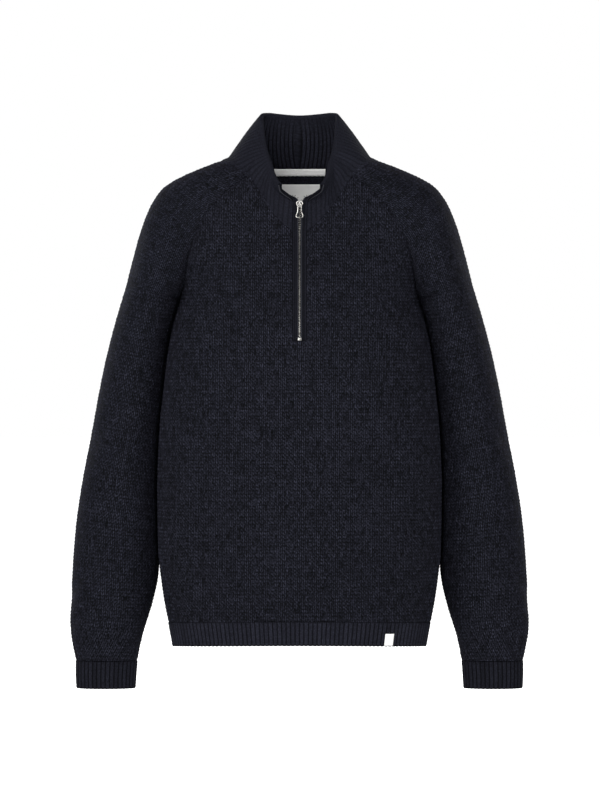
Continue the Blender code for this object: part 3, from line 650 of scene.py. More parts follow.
class Cut:
    """The flat outline of a piece: its half width by height, its foot, its top, its slit."""

    def __init__(self, side, foot, top, low, high, slit=False):
        self.side, self.foot, self.top = side, foot, top
        self.low, self.high, self.slit = low, high, slit
        heights = np.arange(low, high, OUTLINE_STEP)
        self.half = float(np.max(side(heights)))
        spots = [np.column_stack([s * side(heights), heights]) for s in (-1, 1)]
        for curve, height in ((foot, low), (top, high)):
            across = np.arange(-side(height), side(height) + OUTLINE_STEP / 2, OUTLINE_STEP)
            if slit and curve is top:
                across = across[np.abs(across) > ZIP_HALF_OPENING]
            spots.append(np.column_stack([across, curve(across)]))
        if slit:
            z = np.arange(SLIT_BOTTOM_Z, top(np.array([ZIP_HALF_OPENING]))[0], OUTLINE_STEP)
            spots += [np.column_stack([z * 0 + s * ZIP_HALF_OPENING, z]) for s in (-1, 1)]
            across = np.arange(-ZIP_HALF_OPENING, ZIP_HALF_OPENING, OUTLINE_STEP)
            spots.append(np.column_stack([across, across * 0 + SLIT_BOTTOM_Z]))
        self.outline = np.concatenate(spots)

    def depth_in(self, places):
        """How far inside the outline each place is; less than nothing is outside."""
        x, y = np.abs(places[:, 0]), places[:, 1]
        ways = [self.side(y) - x, y - self.foot(places[:, 0]), self.top(places[:, 0]) - y]
        inside = np.min(ways, axis=0)
        if self.slit:
            clear = np.where(y > SLIT_BOTTOM_Z, x - ZIP_HALF_OPENING,
                             np.hypot(np.maximum(x - ZIP_HALF_OPENING, 0), SLIT_BOTTOM_Z - y))
            inside = np.minimum(inside, clear)
        return inside

    def nearest(self, places):
        """The outline's point that lies nearest to each place."""
        picked = [np.argmin(((self.outline - place) ** 2).sum(axis=1)) for place in places]
        return self.outline[picked]


def trim(bm, cut):
    """Deletes the faces outside the cut, and those that would hang on by a corner."""
    middles = np.array([face.calc_center_median()[:2] for face in bm.faces])
    outside = cut.depth_in(middles) < 0
    gone = [face for face, out in zip(bm.faces, outside) if out]
    while gone:
        bmesh.ops.delete(bm, geom=gone, context="FACES")
        pinched = [vert for vert in bm.verts
                   if sum(edge.is_boundary for edge in vert.link_edges) > 2]
        gone = list({face for vert in pinched for face in vert.link_faces})


def flat_knit(cut, knit, seed, thickness):
    """A flat knitted piece as a closed shell: stitches on one side and plain on the other."""
    wale, course = knit.wale / MM, knit.course / MM
    wales = 2 * math.ceil(cut.half / wale) + 1
    courses = math.ceil((cut.high - cut.low) / course) + 3
    dice = np.random.default_rng(seed)
    bm = bmesh.new()
    # each point's 'rise' is its painted shade: light on a stitch's top, dark in its grooves
    groove_shade = bm.verts.layers.float.new("rise")
    made, column, row = grid_steps(bm, 4 * wales, 2 * courses)
    part = column % 4
    stitch = np.minimum((row + 1) // 2, courses), np.minimum(column // 4, wales - 1)
    uneven = dice.normal(0, 1, (4, courses + 1, wales))
    lean = dice.normal(0, 1, wales + 1)[np.minimum((column + 2) // 4, wales)]
    rise = STITCH_RISE[row % 2, part]
    bold = 1 + knit.uneven * (uneven[0][stitch] + LEG_UNEVEN * np.where(part == 1, 1, -1)
                              * uneven[1][stitch])
    x = (column / 4 - wales / 2) * wale + STITCH_STRAY[0] * uneven[2][stitch] * (part % 2)
    x = x + WALE_STRAY * lean
    y = cut.low - 1.5 * course + row * course / 2 + STITCH_SLANT[part] * course
    y = y + STITCH_STRAY[1] * uneven[3][stitch] * (row % 2)
    height = knit.relief / MM * (rise * bold - STITCH_SUNK)
    for vert, place, top in zip(made, np.column_stack([x, y, height]), rise * bold):
        vert.co = place
        vert[groove_shade] = top
    trim(bm, cut)
    rim = [vert for vert in bm.verts if vert.is_boundary]
    spots = cut.nearest(np.array([vert.co[:2] for vert in rim]))
    for vert, spot in zip(rim, spots):
        vert.co = (*spot, 0.0)
    flat = read(bm)
    flat[:, 2] -= EDGE_SINK * np.clip(1 - cut.depth_in(flat) / EDGE_ROLL, 0, 1) ** 2
    write(bm, flat)
    edges = [edge for edge in bm.edges if edge.is_boundary]
    wall = bmesh.ops.extrude_edge_only(bm, edges=edges)["geom"]
    for vert in wall:
        if isinstance(vert, bmesh.types.BMVert):
            vert.co.z = -thickness
            vert[groove_shade] = INSIDE_SHADE
    loop = [edge for edge in wall if isinstance(edge, bmesh.types.BMEdge) and edge.is_boundary]
    inside = bmesh.ops.holes_fill(bm, edges=loop)["faces"]
    for axis, low, high in ((0, -cut.half, cut.half), (1, cut.low, cut.high)):
        for place in np.arange(low + INSIDE_CELL / 2, high, INSIDE_CELL):
            geom = set(inside) | {edge for face in inside for edge in face.edges}
            geom |= {vert for face in inside for vert in face.verts}
            at = [0, 0, 0]
            at[axis] = place
            kept = bmesh.ops.bisect_plane(bm, geom=list(geom), dist=1e-4, plane_co=at,
                                          plane_no=[float(i == axis) for i in range(3)])["geom"]
            inside = [part for part in kept if isinstance(part, bmesh.types.BMFace)]
    for face in inside:
        for vert in face.verts:
            vert[groove_shade] = INSIDE_SHADE
    bmesh.ops.triangulate(bm, faces=[face for face in inside if len(face.verts) > 4])
    return bm


def laid(name, bm, form, finish):
    """Lays a flat piece on its form, keeping its flat places as its UV map."""
    flat = read(bm)
    write(bm, form.lay(flat))
    return finish_mesh(name, bm, finish, uv=flat[:, :2])


def panel_cut(face):
    """The cut of the front or the back: raglan sides, curved foot and neck, and the slit."""
    form = torso_form(face)
    high = RAGLAN[face][-1][0]
    edge = form.edge(high) - SEAM

    def side(height):
        return form.edge(height) - SEAM

    def foot(x):
        if face == BACK:
            return HEM_TOP_Z + x * 0
        return HEM_TOP_Z + HEM_FRONT_LIFT * (1 - (x / side(HEM_TOP_Z)) ** 2)

    def top(x):
        return neckline_height(face, np.minimum(np.abs(x) / edge, 1)) - SEAM

    return Cut(side, foot, top, HEM_TOP_Z, high, slit=face == FRONT)


def sleeve_cut(form):
    """The cut of a sleeve, open at its wrist and its neck edge."""
    length = form.heights[-1]
    return Cut(lambda y: form.edge(y) - SEAM, lambda x: x * 0.0,
               lambda x: x * 0.0 + length - SEAM, 0.0, length)


# ---------------------------------------------------------------- ribbing
# Over a rib, from the middle of a groove: the height of each sixth, and its slant in courses.
RIB_RISE = np.array([0.0, 0.66, 1.0, 0.80, 1.0, 0.66])
RIB_SLANT = np.array([0.0, 0.34, 0.0, -0.42, 0.0, 0.34])
RIB_UNEVEN = 0.11
RIB_COURSE = 4.4
LOW_COURSE = 0.82       # every second row of a rib lies lower
END_RISE = 0.25         # what is left of a rib at the band's ends
INNER_RISE = 0.6        # ribs on the inner face, against those outside
RIB_CALM = 0.36         # the marl shows less in ribbing than in the plain knit
RIB_GROOVE_SHADE = 0.15         # painted shade: how light the grooves are painted, against the top of a rib
END_WAVE = 0.5          # how far the ribs reach past the grooves at the lower edge
RIB_PLY = 5.2           # width of a rib in the pattern of its plies
# How light each ribbing is, against the plain knit: darker copies of the one wool, as painted
# shade
HEM_SHADE, CUFF_SHADE, COLLAR_SHADE, FACING_SHADE = 0.52, 0.36, 0.48, 0.29
# Hem and cuffs have this share of the ribs' relief, and the facing of the stitches' relief.
HEM_RELIEF, CUFF_RELIEF, FACING_RELIEF = 0.6, 0.8, 0.35


def rib_points(column, row, rows, ribs, dice):
    """Shares across and along, and the rise of the ribs, at steps of a grid."""
    part = column % 6
    swell = 1 + RIB_UNEVEN * dice.normal(0, 1, ribs + 1)[np.minimum(column // 6, ribs)]
    swell = swell * (1 + RIB_UNEVEN * dice.normal(0, 1, (ribs + 1, rows + 1))[
        np.minimum(column // 6, ribs), row])
    ends = (row == 0) | (row == rows)
    rise = RIB_RISE[part] * np.where(row % 2 == 1, 1.0, LOW_COURSE) * swell
    along_share = (row + np.where(ends, 0, 2 * RIB_SLANT[part])
                   - np.where(row == 0, END_WAVE * RIB_RISE[part], 0)) / rows
    return column / (6 * ribs), along_share, rise * np.where(ends, END_RISE, 1)


def rib_band(ribs, low, high, side, thickness, relief, course, seed=0, lift=None, out=0.0):
    """A flat band with ribs on both faces, from low to high and to side on either hand."""
    bm = bmesh.new()
    groove_shade = bm.verts.layers.float.new("rise")
    dice = np.random.default_rng(ribs + seed)
    rows = 2 * max(2, round((high - low) / course))
    for face, shift in ((1, 0), (-1, 3)):
        made, column, row = grid_steps(bm, 6 * ribs, rows)
        share, way, rise = rib_points(column + shift, row, rows, ribs + 1, dice)
        share = 2 * column / (6 * ribs) - 1
        y = low + (high - low) * way
        z = out + relief * rise if face > 0 else out - thickness - INNER_RISE * relief * rise
        x = share * side(y)
        if lift:
            y = y + lift(share)
        for vert, spot, top in zip(made, np.column_stack([x, y, z]), rise):
            vert.co = spot
            # painted shade, dark in the grooves between the ribs
            vert[groove_shade] = RIB_GROOVE_SHADE + (1 - RIB_GROOVE_SHADE) * top
    edges = [edge for edge in bm.edges if edge.is_boundary]
    bmesh.ops.bridge_loops(bm, edges=edges)
    return bm


# ---------------------------------------------------------------- finishes
def group_socket(group, name, kind, way, value=None):
    """Adds an input or an output to a node group, with its default where it has one."""
    made = group.interface.new_socket(name=name, in_out=way, socket_type=kind)
    if value is not None:
        made.default_value = value
    return made


def wire(tree, *pairs):
    """Links outputs to inputs."""
    for source, target in pairs:
        tree.links.new(source, target)


def node(tree, kind, place, **values):
    """Adds a node at a place in the tree's layout, and sets it up."""
    made = tree.nodes.new(kind)
    made.location = place
    for name, value in values.items():
        setattr(made, name, value)
    return made


def math_node(tree, place, operation, a, b=None):
    """The output of a sum on numbers or outputs."""
    made = node(tree, "ShaderNodeMath", place, operation=operation)
    for socket, value in zip(made.inputs, (a, b)):
        if isinstance(value, (int, float)):
            socket.default_value = value
        elif value is not None:
            tree.links.new(value, socket)
    return made.outputs[0]


def marled_wool():
    """Node group: the colour and the fibres of a marled yarn, laid along the flat piece, with
    painted shade that darkens the colour into the stitches' grooves.
    """
    tree = bpy.data.node_groups.new("Marled wool", "ShaderNodeTree")
    group_socket(tree, "Dark", "NodeSocketColor", "INPUT", (0.01, 0.011, 0.016, 1))
    group_socket(tree, "Light", "NodeSocketColor", "INPUT", (0.03, 0.035, 0.06, 1))
    group_socket(tree, "Across", "NodeSocketFloat", "INPUT", 190.0)
    group_socket(tree, "Along", "NodeSocketFloat", "INPUT", 200.0)
    # how dark the painted shade makes the deepest grooves
    group_socket(tree, "Depth", "NodeSocketFloat", "INPUT", 0.9)
    group_socket(tree, "Colour", "NodeSocketColor", "OUTPUT")
    group_socket(tree, "Roughness", "NodeSocketFloat", "OUTPUT")
    group_socket(tree, "Fibres", "NodeSocketFloat", "OUTPUT")
    enter = node(tree, "NodeGroupInput", (-1400, 0))
    leave = node(tree, "NodeGroupOutput", (900, 0))
    flat = node(tree, "ShaderNodeUVMap", (-1400, 300), uv_map="flat")
    split = node(tree, "ShaderNodeSeparateXYZ", (-1200, 300))
    wire(tree, (flat.outputs[0], split.inputs[0]))
    across = math_node(tree, (-1000, 380), "MULTIPLY", split.outputs[0], enter.outputs["Across"])
    up = math_node(tree, (-1000, 220), "MULTIPLY", split.outputs[1], enter.outputs["Along"])

    def noise(place, across_scale, along_scale, detail):
        joined = node(tree, "ShaderNodeCombineXYZ", (place[0] - 200, place[1]))
        wire(tree, (math_node(tree, (place[0] - 400, place[1]), "MULTIPLY", across,
                              across_scale), joined.inputs[0]),
             (math_node(tree, (place[0] - 400, place[1] - 60), "MULTIPLY", up, along_scale),
              joined.inputs[1]))
        made = node(tree, "ShaderNodeTexNoise", place)
        made.inputs["Scale"].default_value = 1.0
        made.inputs["Detail"].default_value = detail
        wire(tree, (joined.outputs[0], made.inputs["Vector"]))
        return made.outputs["Fac"]

    plies = noise((-400, 600), 2.6, 2.1, 3.0)
    streaks = noise((-400, 350), 0.10, 0.9, 2.0)
    clouds = noise((-400, 100), 0.045, 0.06, 2.0)
    fibres = noise((-400, -300), 9.0, 6.0, 4.0)
    mixed = math_node(tree, (0, 500), "ADD", math_node(tree, (-150, 500), "MULTIPLY", plies, 0.88),
                      math_node(tree, (-150, 350), "MULTIPLY", streaks, 0.10))
    mixed = math_node(tree, (150, 400), "ADD", mixed, math_node(
        tree, (-150, 200), "MULTIPLY", clouds, 0.05))
    ramp = node(tree, "ShaderNodeMapRange", (300, 400), interpolation_type="SMOOTHSTEP")
    ramp.inputs["From Min"].default_value = 0.40
    ramp.inputs["From Max"].default_value = 0.68
    blend = node(tree, "ShaderNodeMix", (500, 350), data_type="RGBA")
    # painted shade: the 'rise' attribute scales the colour from full on a stitch's top down into
    # its grooves
    groove_shade = node(tree, "ShaderNodeAttribute", (-400, -600), attribute_name="rise")
    height = node(tree, "ShaderNodeMapRange", (-150, -500), interpolation_type="SMOOTHSTEP")
    height.inputs["From Min"].default_value = 0.05
    height.inputs["From Max"].default_value = 1.15
    deepest_shade = math_node(tree, (-150, -700), "SUBTRACT", 1.0, enter.outputs["Depth"])
    tint = node(tree, "ShaderNodeVectorMath", (700, 250), operation="SCALE")
    wire(tree, (mixed, ramp.inputs["Value"]), (ramp.outputs[0], blend.inputs["Factor"]),
         (enter.outputs["Dark"], blend.inputs["A"]), (enter.outputs["Light"], blend.inputs["B"]),
         (groove_shade.outputs["Fac"], height.inputs["Value"]), (deepest_shade, height.inputs["To Min"]),
         (blend.outputs["Result"], tint.inputs[0]), (height.outputs[0], tint.inputs["Scale"]),
         (tint.outputs[0], leave.inputs["Colour"]), (fibres, leave.inputs["Fibres"]),
         (math_node(tree, (550, 0), "ADD", math_node(
             tree, (350, 0), "MULTIPLY", fibres, 0.25), 0.72), leave.inputs["Roughness"]))
    return tree


def woven_cloth():
    """Node group: fine plain weave on Object coordinates, for tapes and labels."""
    tree = bpy.data.node_groups.new("Fine weave", "ShaderNodeTree")
    group_socket(tree, "Colour", "NodeSocketColor", "INPUT", (0.8, 0.8, 0.8, 1))
    group_socket(tree, "Pitch", "NodeSocketFloat", "INPUT", 1600.0)
    group_socket(tree, "Colour", "NodeSocketColor", "OUTPUT")
    group_socket(tree, "Threads", "NodeSocketFloat", "OUTPUT")
    enter = node(tree, "NodeGroupInput", (-900, 0))
    leave = node(tree, "NodeGroupOutput", (700, 0))
    place = node(tree, "ShaderNodeTexCoord", (-900, 300))
    split = node(tree, "ShaderNodeSeparateXYZ", (-700, 300))
    wire(tree, (place.outputs["Object"], split.inputs[0]))
    waves = []
    for axis, y in ((0, 380), (2, 200)):
        scaled = math_node(tree, (-500, y), "MULTIPLY", split.outputs[axis],
                           enter.outputs["Pitch"])
        waves.append(math_node(tree, (-300, y), "SINE", scaled))
    threads = math_node(tree, (-100, 300), "MULTIPLY", waves[0], waves[1])
    soil = node(tree, "ShaderNodeTexNoise", (-500, -100))
    soil.inputs["Scale"].default_value = 90.0
    wire(tree, (place.outputs["Object"], soil.inputs["Vector"]))
    # random soil tone, with a faint painted shade that follows the threads' relief
    shade = math_node(tree, (100, 100), "ADD", 0.86, math_node(
        tree, (-50, 0), "MULTIPLY", soil.outputs["Fac"], 0.16))
    shade = math_node(tree, (250, 100), "ADD", shade, math_node(
        tree, (100, -80), "MULTIPLY", threads, 0.05))
    tint = node(tree, "ShaderNodeVectorMath", (450, 100), operation="SCALE")
    wire(tree, (enter.outputs["Colour"], tint.inputs[0]), (shade, tint.inputs["Scale"]),
         (tint.outputs[0], leave.inputs["Colour"]), (threads, leave.inputs["Threads"]))
    return tree


def group_of(name, build):
    """A node group by its name, built the first time."""
    return bpy.data.node_groups.get(name) or build()


def plain_material(name, roughness, metallic=0.0, sheen=0.0, specular=0.5):
    """A new material with its Principled shader's own constants, and the shader."""
    made = bpy.data.materials.new(name)
    made.use_nodes = True
    shader = made.node_tree.nodes["Principled BSDF"]
    shader.inputs["Roughness"].default_value = roughness
    shader.inputs["Metallic"].default_value = metallic
    shader.inputs["Sheen Weight"].default_value = sheen
    shader.inputs["Sheen Roughness"].default_value = 0.45
    shader.inputs["Specular IOR Level"].default_value = specular
    return made, shader


def bumped(tree, height, distance, strength, shader):
    """Makes the surface rise with a height."""
    bump = node(tree, "ShaderNodeBump", (-250, -300))
    bump.inputs["Distance"].default_value = distance
    bump.inputs["Strength"].default_value = strength
    wire(tree, (height, bump.inputs["Height"]), (bump.outputs[0], shader.inputs["Normal"]))


def wool(name, across, along_course, shade=1.0, calm=0.0):
    """Marled wool whose plies are as wide as the piece's own stitches.

    A shade below 1 darkens it, used as painted shade, and calm brings its dark ply closer to the
    light one.
    """
    found = bpy.data.materials.get(name)
    if found:
        return found
    knit = bpy.context.scene.sweater_knit
    made, shader = plain_material(name, 0.85, sheen=knit.sheen, specular=0.04)
    shader.inputs["Sheen Tint"].default_value = (*knit.light, 1)
    tree = made.node_tree
    marl = node(tree, "ShaderNodeGroup", (-500, 100))
    marl.node_tree = group_of("Marled wool", marled_wool)
    dark, light = np.array(knit.dark), np.array(knit.light)
    marl.inputs["Dark"].default_value = (*(shade * (dark + calm * (light - dark))), 1)
    marl.inputs["Light"].default_value = (*(shade * light), 1)
    marl.inputs["Across"].default_value = 1000 / across
    marl.inputs["Along"].default_value = 1000 / along_course
    wire(tree, (marl.outputs["Colour"], shader.inputs["Base Color"]),
         (marl.outputs["Roughness"], shader.inputs["Roughness"]))
    bumped(tree, marl.outputs["Fibres"], 0.0006, 0.6, shader)
    return made


def rib_wool(name, shade):
    """Marled wool for ribbing, darkened by its shade as painted shade."""
    return wool(name, RIB_PLY, RIB_COURSE, shade, RIB_CALM)


def woven(name, colour, pitch, roughness):
    """Plain woven cloth with a thread every pitch, in millimetres."""
    found = bpy.data.materials.get(name)
    if found:
        return found
    made, shader = plain_material(name, roughness, sheen=0.1, specular=0.3)
    tree = made.node_tree
    weave = node(tree, "ShaderNodeGroup", (-500, 100))
    weave.node_tree = group_of("Fine weave", woven_cloth)
    weave.inputs["Colour"].default_value = (*colour, 1)
    weave.inputs["Pitch"].default_value = 2 * math.pi / (pitch * MM)
    wire(tree, (weave.outputs["Colour"], shader.inputs["Base Color"]))
    bumped(tree, weave.outputs["Threads"], 0.0002, 0.35, shader)
    return made


def blotched_metal(name="plated_metal", shade=1.0):
    """Bright plated metal, a little dulled, with fine scratches and random dark blotches of
    painted shade and painted reflection.
    """
    found = bpy.data.materials.get(name)
    if found:
        return found
    metal = [shade * part for part in bpy.context.scene.sweater_zip.metal]
    made, shader = plain_material(name, 0.3, metallic=1.0)
    tree = made.node_tree
    place = node(tree, "ShaderNodeTexCoord", (-1100, 0))
    cloud = node(tree, "ShaderNodeTexNoise", (-900, 100))
    cloud.inputs["Scale"].default_value = 420.0
    cloud.inputs["Detail"].default_value = 4.0
    dull = node(tree, "ShaderNodeMapRange", (-650, 100))
    dull.inputs["To Min"].default_value = 0.22
    dull.inputs["To Max"].default_value = 0.42
    # painted shade and painted reflection: random dark blotches, down to a fifth of the metal's
    # colour
    tone = node(tree, "ShaderNodeMix", (-400, 200), data_type="RGBA")
    tone.inputs["A"].default_value = (*metal, 1)
    tone.inputs["B"].default_value = (*[0.2 * part for part in metal], 1)
    worn = node(tree, "ShaderNodeMapRange", (-650, 350), interpolation_type="SMOOTHSTEP")
    worn.inputs["From Min"].default_value = 0.44
    worn.inputs["From Max"].default_value = 0.62
    scratch = node(tree, "ShaderNodeTexNoise", (-900, -200))
    scratch.inputs["Scale"].default_value = 2600.0
    wire(tree, (place.outputs["Object"], cloud.inputs["Vector"]),
         (place.outputs["Object"], scratch.inputs["Vector"]),
         (cloud.outputs["Fac"], dull.inputs["Value"]),
         (dull.outputs[0], shader.inputs["Roughness"]),
         (cloud.outputs["Fac"], worn.inputs["Value"]), (worn.outputs[0], tone.inputs["Factor"]),
         (tone.outputs["Result"], shader.inputs["Base Color"]))
    bumped(tree, scratch.outputs["Fac"], 0.00004, 0.4, shader)
    return made


# ---------------------------------------------------------------- settings
class KnitSettings(PropertyGroup):
    """Sizes and colours of the knitted cloth."""

    wale: FloatProperty(name="Wale", description="Width of one stitch of the plain knit",
                        default=0.0052, min=0.003, unit="LENGTH")
    course: FloatProperty(name="Course", description="Height of one stitch of the plain knit",
                          default=0.0051, min=0.003, unit="LENGTH")
    relief: FloatProperty(name="Relief", description="How far the stitches stand up",
                          default=0.0008, min=0, max=0.002, unit="LENGTH")
    rib_relief: FloatProperty(name="Rib relief", description="How far the ribs stand up",
                              default=0.0013, min=0, max=0.003, unit="LENGTH")
    uneven: FloatProperty(name="Unevenness", description="How much the stitches differ",
                          default=0.20, min=0, max=0.5, subtype="FACTOR")
    sheen: FloatProperty(name="Sheen", description="Light caught by the loose fibres",
                         default=0.06, min=0, max=1, subtype="FACTOR")
    dark: FloatVectorProperty(name="Dark yarn", description="The darker ply of the yarn",
                              default=(0.0080, 0.0083, 0.0125), subtype="COLOR", min=0, max=1)
    light: FloatVectorProperty(name="Light yarn", description="The lighter ply of the yarn",
                               default=(0.0320, 0.0336, 0.0505), subtype="COLOR", min=0, max=1)


class ZipSettings(PropertyGroup):
    """Sizes and colours of the zip."""

    pitch: FloatProperty(name="Tooth pitch", description="From one tooth to the next on a side",
                         default=0.0026, min=0.0015, unit="LENGTH")
    metal: FloatVectorProperty(name="Metal", description="Colour of the teeth and the slider",
                               default=(0.47, 0.46, 0.44), subtype="COLOR", min=0, max=1)
    tape: FloatVectorProperty(name="Tape", description="Colour of the zip's woven tape",
                              default=(0.012, 0.013, 0.020), subtype="COLOR", min=0, max=1)


class TrimSettings(PropertyGroup):
    """Colours of the labels and the sewing thread."""

    label: FloatVectorProperty(name="Label", description="Colour of the bare labels",
                               default=(0.80, 0.80, 0.79), subtype="COLOR", min=0, max=1)
    satin: FloatVectorProperty(name="Satin label", description="Colour of the neck label",
                               default=(0.78, 0.78, 0.77), subtype="COLOR", min=0, max=1)
    thread: FloatVectorProperty(name="Thread", description="Colour of the sewing thread",
                                default=(0.006, 0.006, 0.009), subtype="COLOR", min=0, max=1)


class StageSettings(PropertyGroup):
    """The floor, the light and the camera."""

    distance: FloatProperty(name="Camera distance", description="From the sweater's middle",
                            default=6.0, min=1, unit="LENGTH")
    view_height: FloatProperty(name="View height", description="Height that the camera sees",
                               default=1.12, min=0.2, unit="LENGTH")
    room: FloatProperty(name="Room light", description="Strength of the soft light all round",
                        default=0.5, min=0, max=1)
    key: FloatProperty(name="Key light", description="Power of the large light on the left",
                       default=70, min=0, subtype="POWER")
    fill: FloatProperty(name="Fill light", description="Power of the light on the right",
                        default=38, min=0, subtype="POWER")
    front: FloatProperty(name="Front light", description="Power of the light over the camera",
                         default=132, min=0, subtype="POWER")
    behind: FloatProperty(name="Back lights", description="Power of the two lights behind",
                          default=95, min=0, subtype="POWER")
    floor: FloatVectorProperty(name="Floor", description="Colour of the pale floor",
                               default=(0.93, 0.93, 0.93), subtype="COLOR", min=0, max=1)


# ---------------------------------------------------------------- the pieces
AREA_STEP = 2.0


def dress(piece, slot, *nodes, held="hung", rests_on=(), area=None, flat=None):
    """Hides the solids that a piece stands for; its finish and the size it was cut to are not
    used.
    """
    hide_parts(*nodes)
    return piece


def cut_area(cut):
    """The flat area inside a cut, in square metres."""
    heights = np.arange(cut.low, cut.high + 5, AREA_STEP)
    across = np.arange(-cut.half, cut.half, AREA_STEP)
    x, y = np.meshgrid(across, heights)
    places = np.column_stack([x.ravel(), y.ravel()])
    return float((cut.depth_in(places) > 0).sum() * AREA_STEP ** 2 * MM * MM)


def plain_wool():
    """Marled wool for the plain knit."""
    knit = bpy.context.scene.sweater_knit
    return wool("plain_wool", knit.wale / MM, knit.course / MM)


def build_plain(name, solid, form, cut, seed, rests_on):
    """One plain knitted piece: stitched flat, trimmed to its cut and laid on its form."""
    bm = flat_knit(cut, bpy.context.scene.sweater_knit, seed, CLOTH)
    piece = laid(name, bm, form, plain_wool())
    dress(piece, "navy_knit", solid, rests_on=rests_on, area=cut_area(cut),
          flat=(2 * cut.half * MM, (cut.high - cut.low) * MM))


def build_panel(name, solid, face, seed):
    """The front or the back."""
    build_plain(name, solid, torso_form(face), panel_cut(face), seed, ["collar"])


def build_sleeve(name, solid, side, seed):
    """One raglan sleeve."""
    form = sleeve_form(side)
    build_plain(name, solid, form, sleeve_cut(form), seed, ["front", "back"])


def build_hem(name, solid, face, carrier):
    """The front's or the back's half of the hem."""
    form = torso_form(face)
    knit = bpy.context.scene.sweater_knit

    def lift(share):
        return HEM_FRONT_LIFT * (1 - share ** 2) * (face == FRONT)

    low, high = HEM_TOP_Z - GAP - HEM_RIB, HEM_TOP_Z - SEAM
    bm = rib_band(HEM_RIBS, low, high, lambda y: form.edge(y) - SEAM, RIB_CLOTH,
                  knit.rib_relief / MM * HEM_RELIEF, RIB_COURSE, lift=lift)
    piece = laid(name, bm, form, rib_wool("hem_wool", HEM_SHADE))
    dress(piece, "navy_rib", solid, rests_on=[carrier],
          flat=(2 * form.edge(HEM_TOP_Z) * MM, HEM_RIB * MM))


@lru_cache(maxsize=None)
def cuff_form(side):
    """The cuff's oval, from the hand upwards and round from the underarm line."""
    heights = np.linspace(CUFF_TOP_Z - GAP - CUFF_RIB - 2 * END_WAVE, CUFF_TOP_Z - SEAM, 9)
    points, normals, halves = [], [], []
    for height in heights:
        outer, inner, y, depth = CUFF_AT((CUFF_TOP_Z - GAP - height) / CUFF_RIB)[1:]
        half = (outer - inner) / 2
        angle = np.linspace(-math.pi, math.pi, 721)
        oval = np.column_stack([half * np.cos(angle), depth * np.sin(angle)])
        way = distances(oval)
        angle = np.interp((SHARES + 1) / 2 * way[-1], way, angle)
        points.append(np.column_stack([inner + half + half * np.cos(angle),
                                       y + depth * np.sin(angle), angle * 0 + height]))
        normals.append(unit(np.column_stack([np.cos(angle) / half, np.sin(angle) / depth,
                                             angle * 0])))
        halves.append(way[-1] / 2)
    mirror = np.array([side, 1, 1])
    halves = np.array(halves)
    return Form(heights, halves, halves, np.array(points) * mirror, np.array(normals) * mirror)


def build_cuff(name, solid, side, sleeve):
    """One cuff."""
    form = cuff_form(side)
    knit = bpy.context.scene.sweater_knit
    bm = rib_band(CUFF_RIBS, CUFF_TOP_Z - GAP - CUFF_RIB, form.heights[-1],
                  lambda y: form.edge(y) - SEAM / 2, RIB_CLOTH,
                  CUFF_RELIEF * knit.rib_relief / MM, RIB_COURSE, seed=side)
    piece = laid(name, bm, form, rib_wool("cuff_wool", CUFF_SHADE))
    dress(piece, "navy_rib", solid, rests_on=[sleeve],
          flat=(2 * form.halves[-1] * MM, CUFF_RIB * MM))


COLLAR_COURSE = 3.4
COLLAR_SEED = 5
RIM_RADIUS = 3.7        # the fold at the rim is fuller than the wall below it
RIM_SWELL = 5
RIM_STEPS = 9
COLLAR_LAP = 7.0        # how far the collar's foot laps over the panels
INNER_LAP = 3.2
LAP_PROUD = (0.7, 1.2)
LAP_BEHIND = 0.25
RIB_FAN = 0.07          # ribs at the back lie closer together towards the neck
RIM_REACH = 0.09        # share of the folded length over which the ribs die out at the rim
PLAIN_RIM = 0.14        # share of the folded length over which the rim stays plain
SMOOTH_OUTSIDE = 0.45   # ribs outside the collar, stretched flatter than those inside
COLLAR_END_ROUND = 2.3
COLLAR_PLAIN_SHADE = 0.6       # painted shade of the plain parts, against the top of a rib
RIB_SUNK = 0.3          # share of the ribs' relief that lies below the form
RIM_SMOOTH = 0.8        # share of the ribs' relief that is gone at the rim


def whole_row(left, right=None):
    """A row from the front to the centre back, and on round the other side."""
    right = left if right is None else right
    return np.concatenate([left, right[::-1][1:] * (-1, 1, 1)])


def collar_sink(shares, rise):
    """How far the collar's folds sink at each place of its grid."""
    x, z = np.meshgrid(shares * COLLAR_WAY, rise * COLLAR_HEIGHT)
    left, right = (fold_depth(x, z, COLLAR_FOLDS[side]) for side in (1, -1))
    return np.concatenate([left, right[:, ::-1][:, 1:]], axis=1)


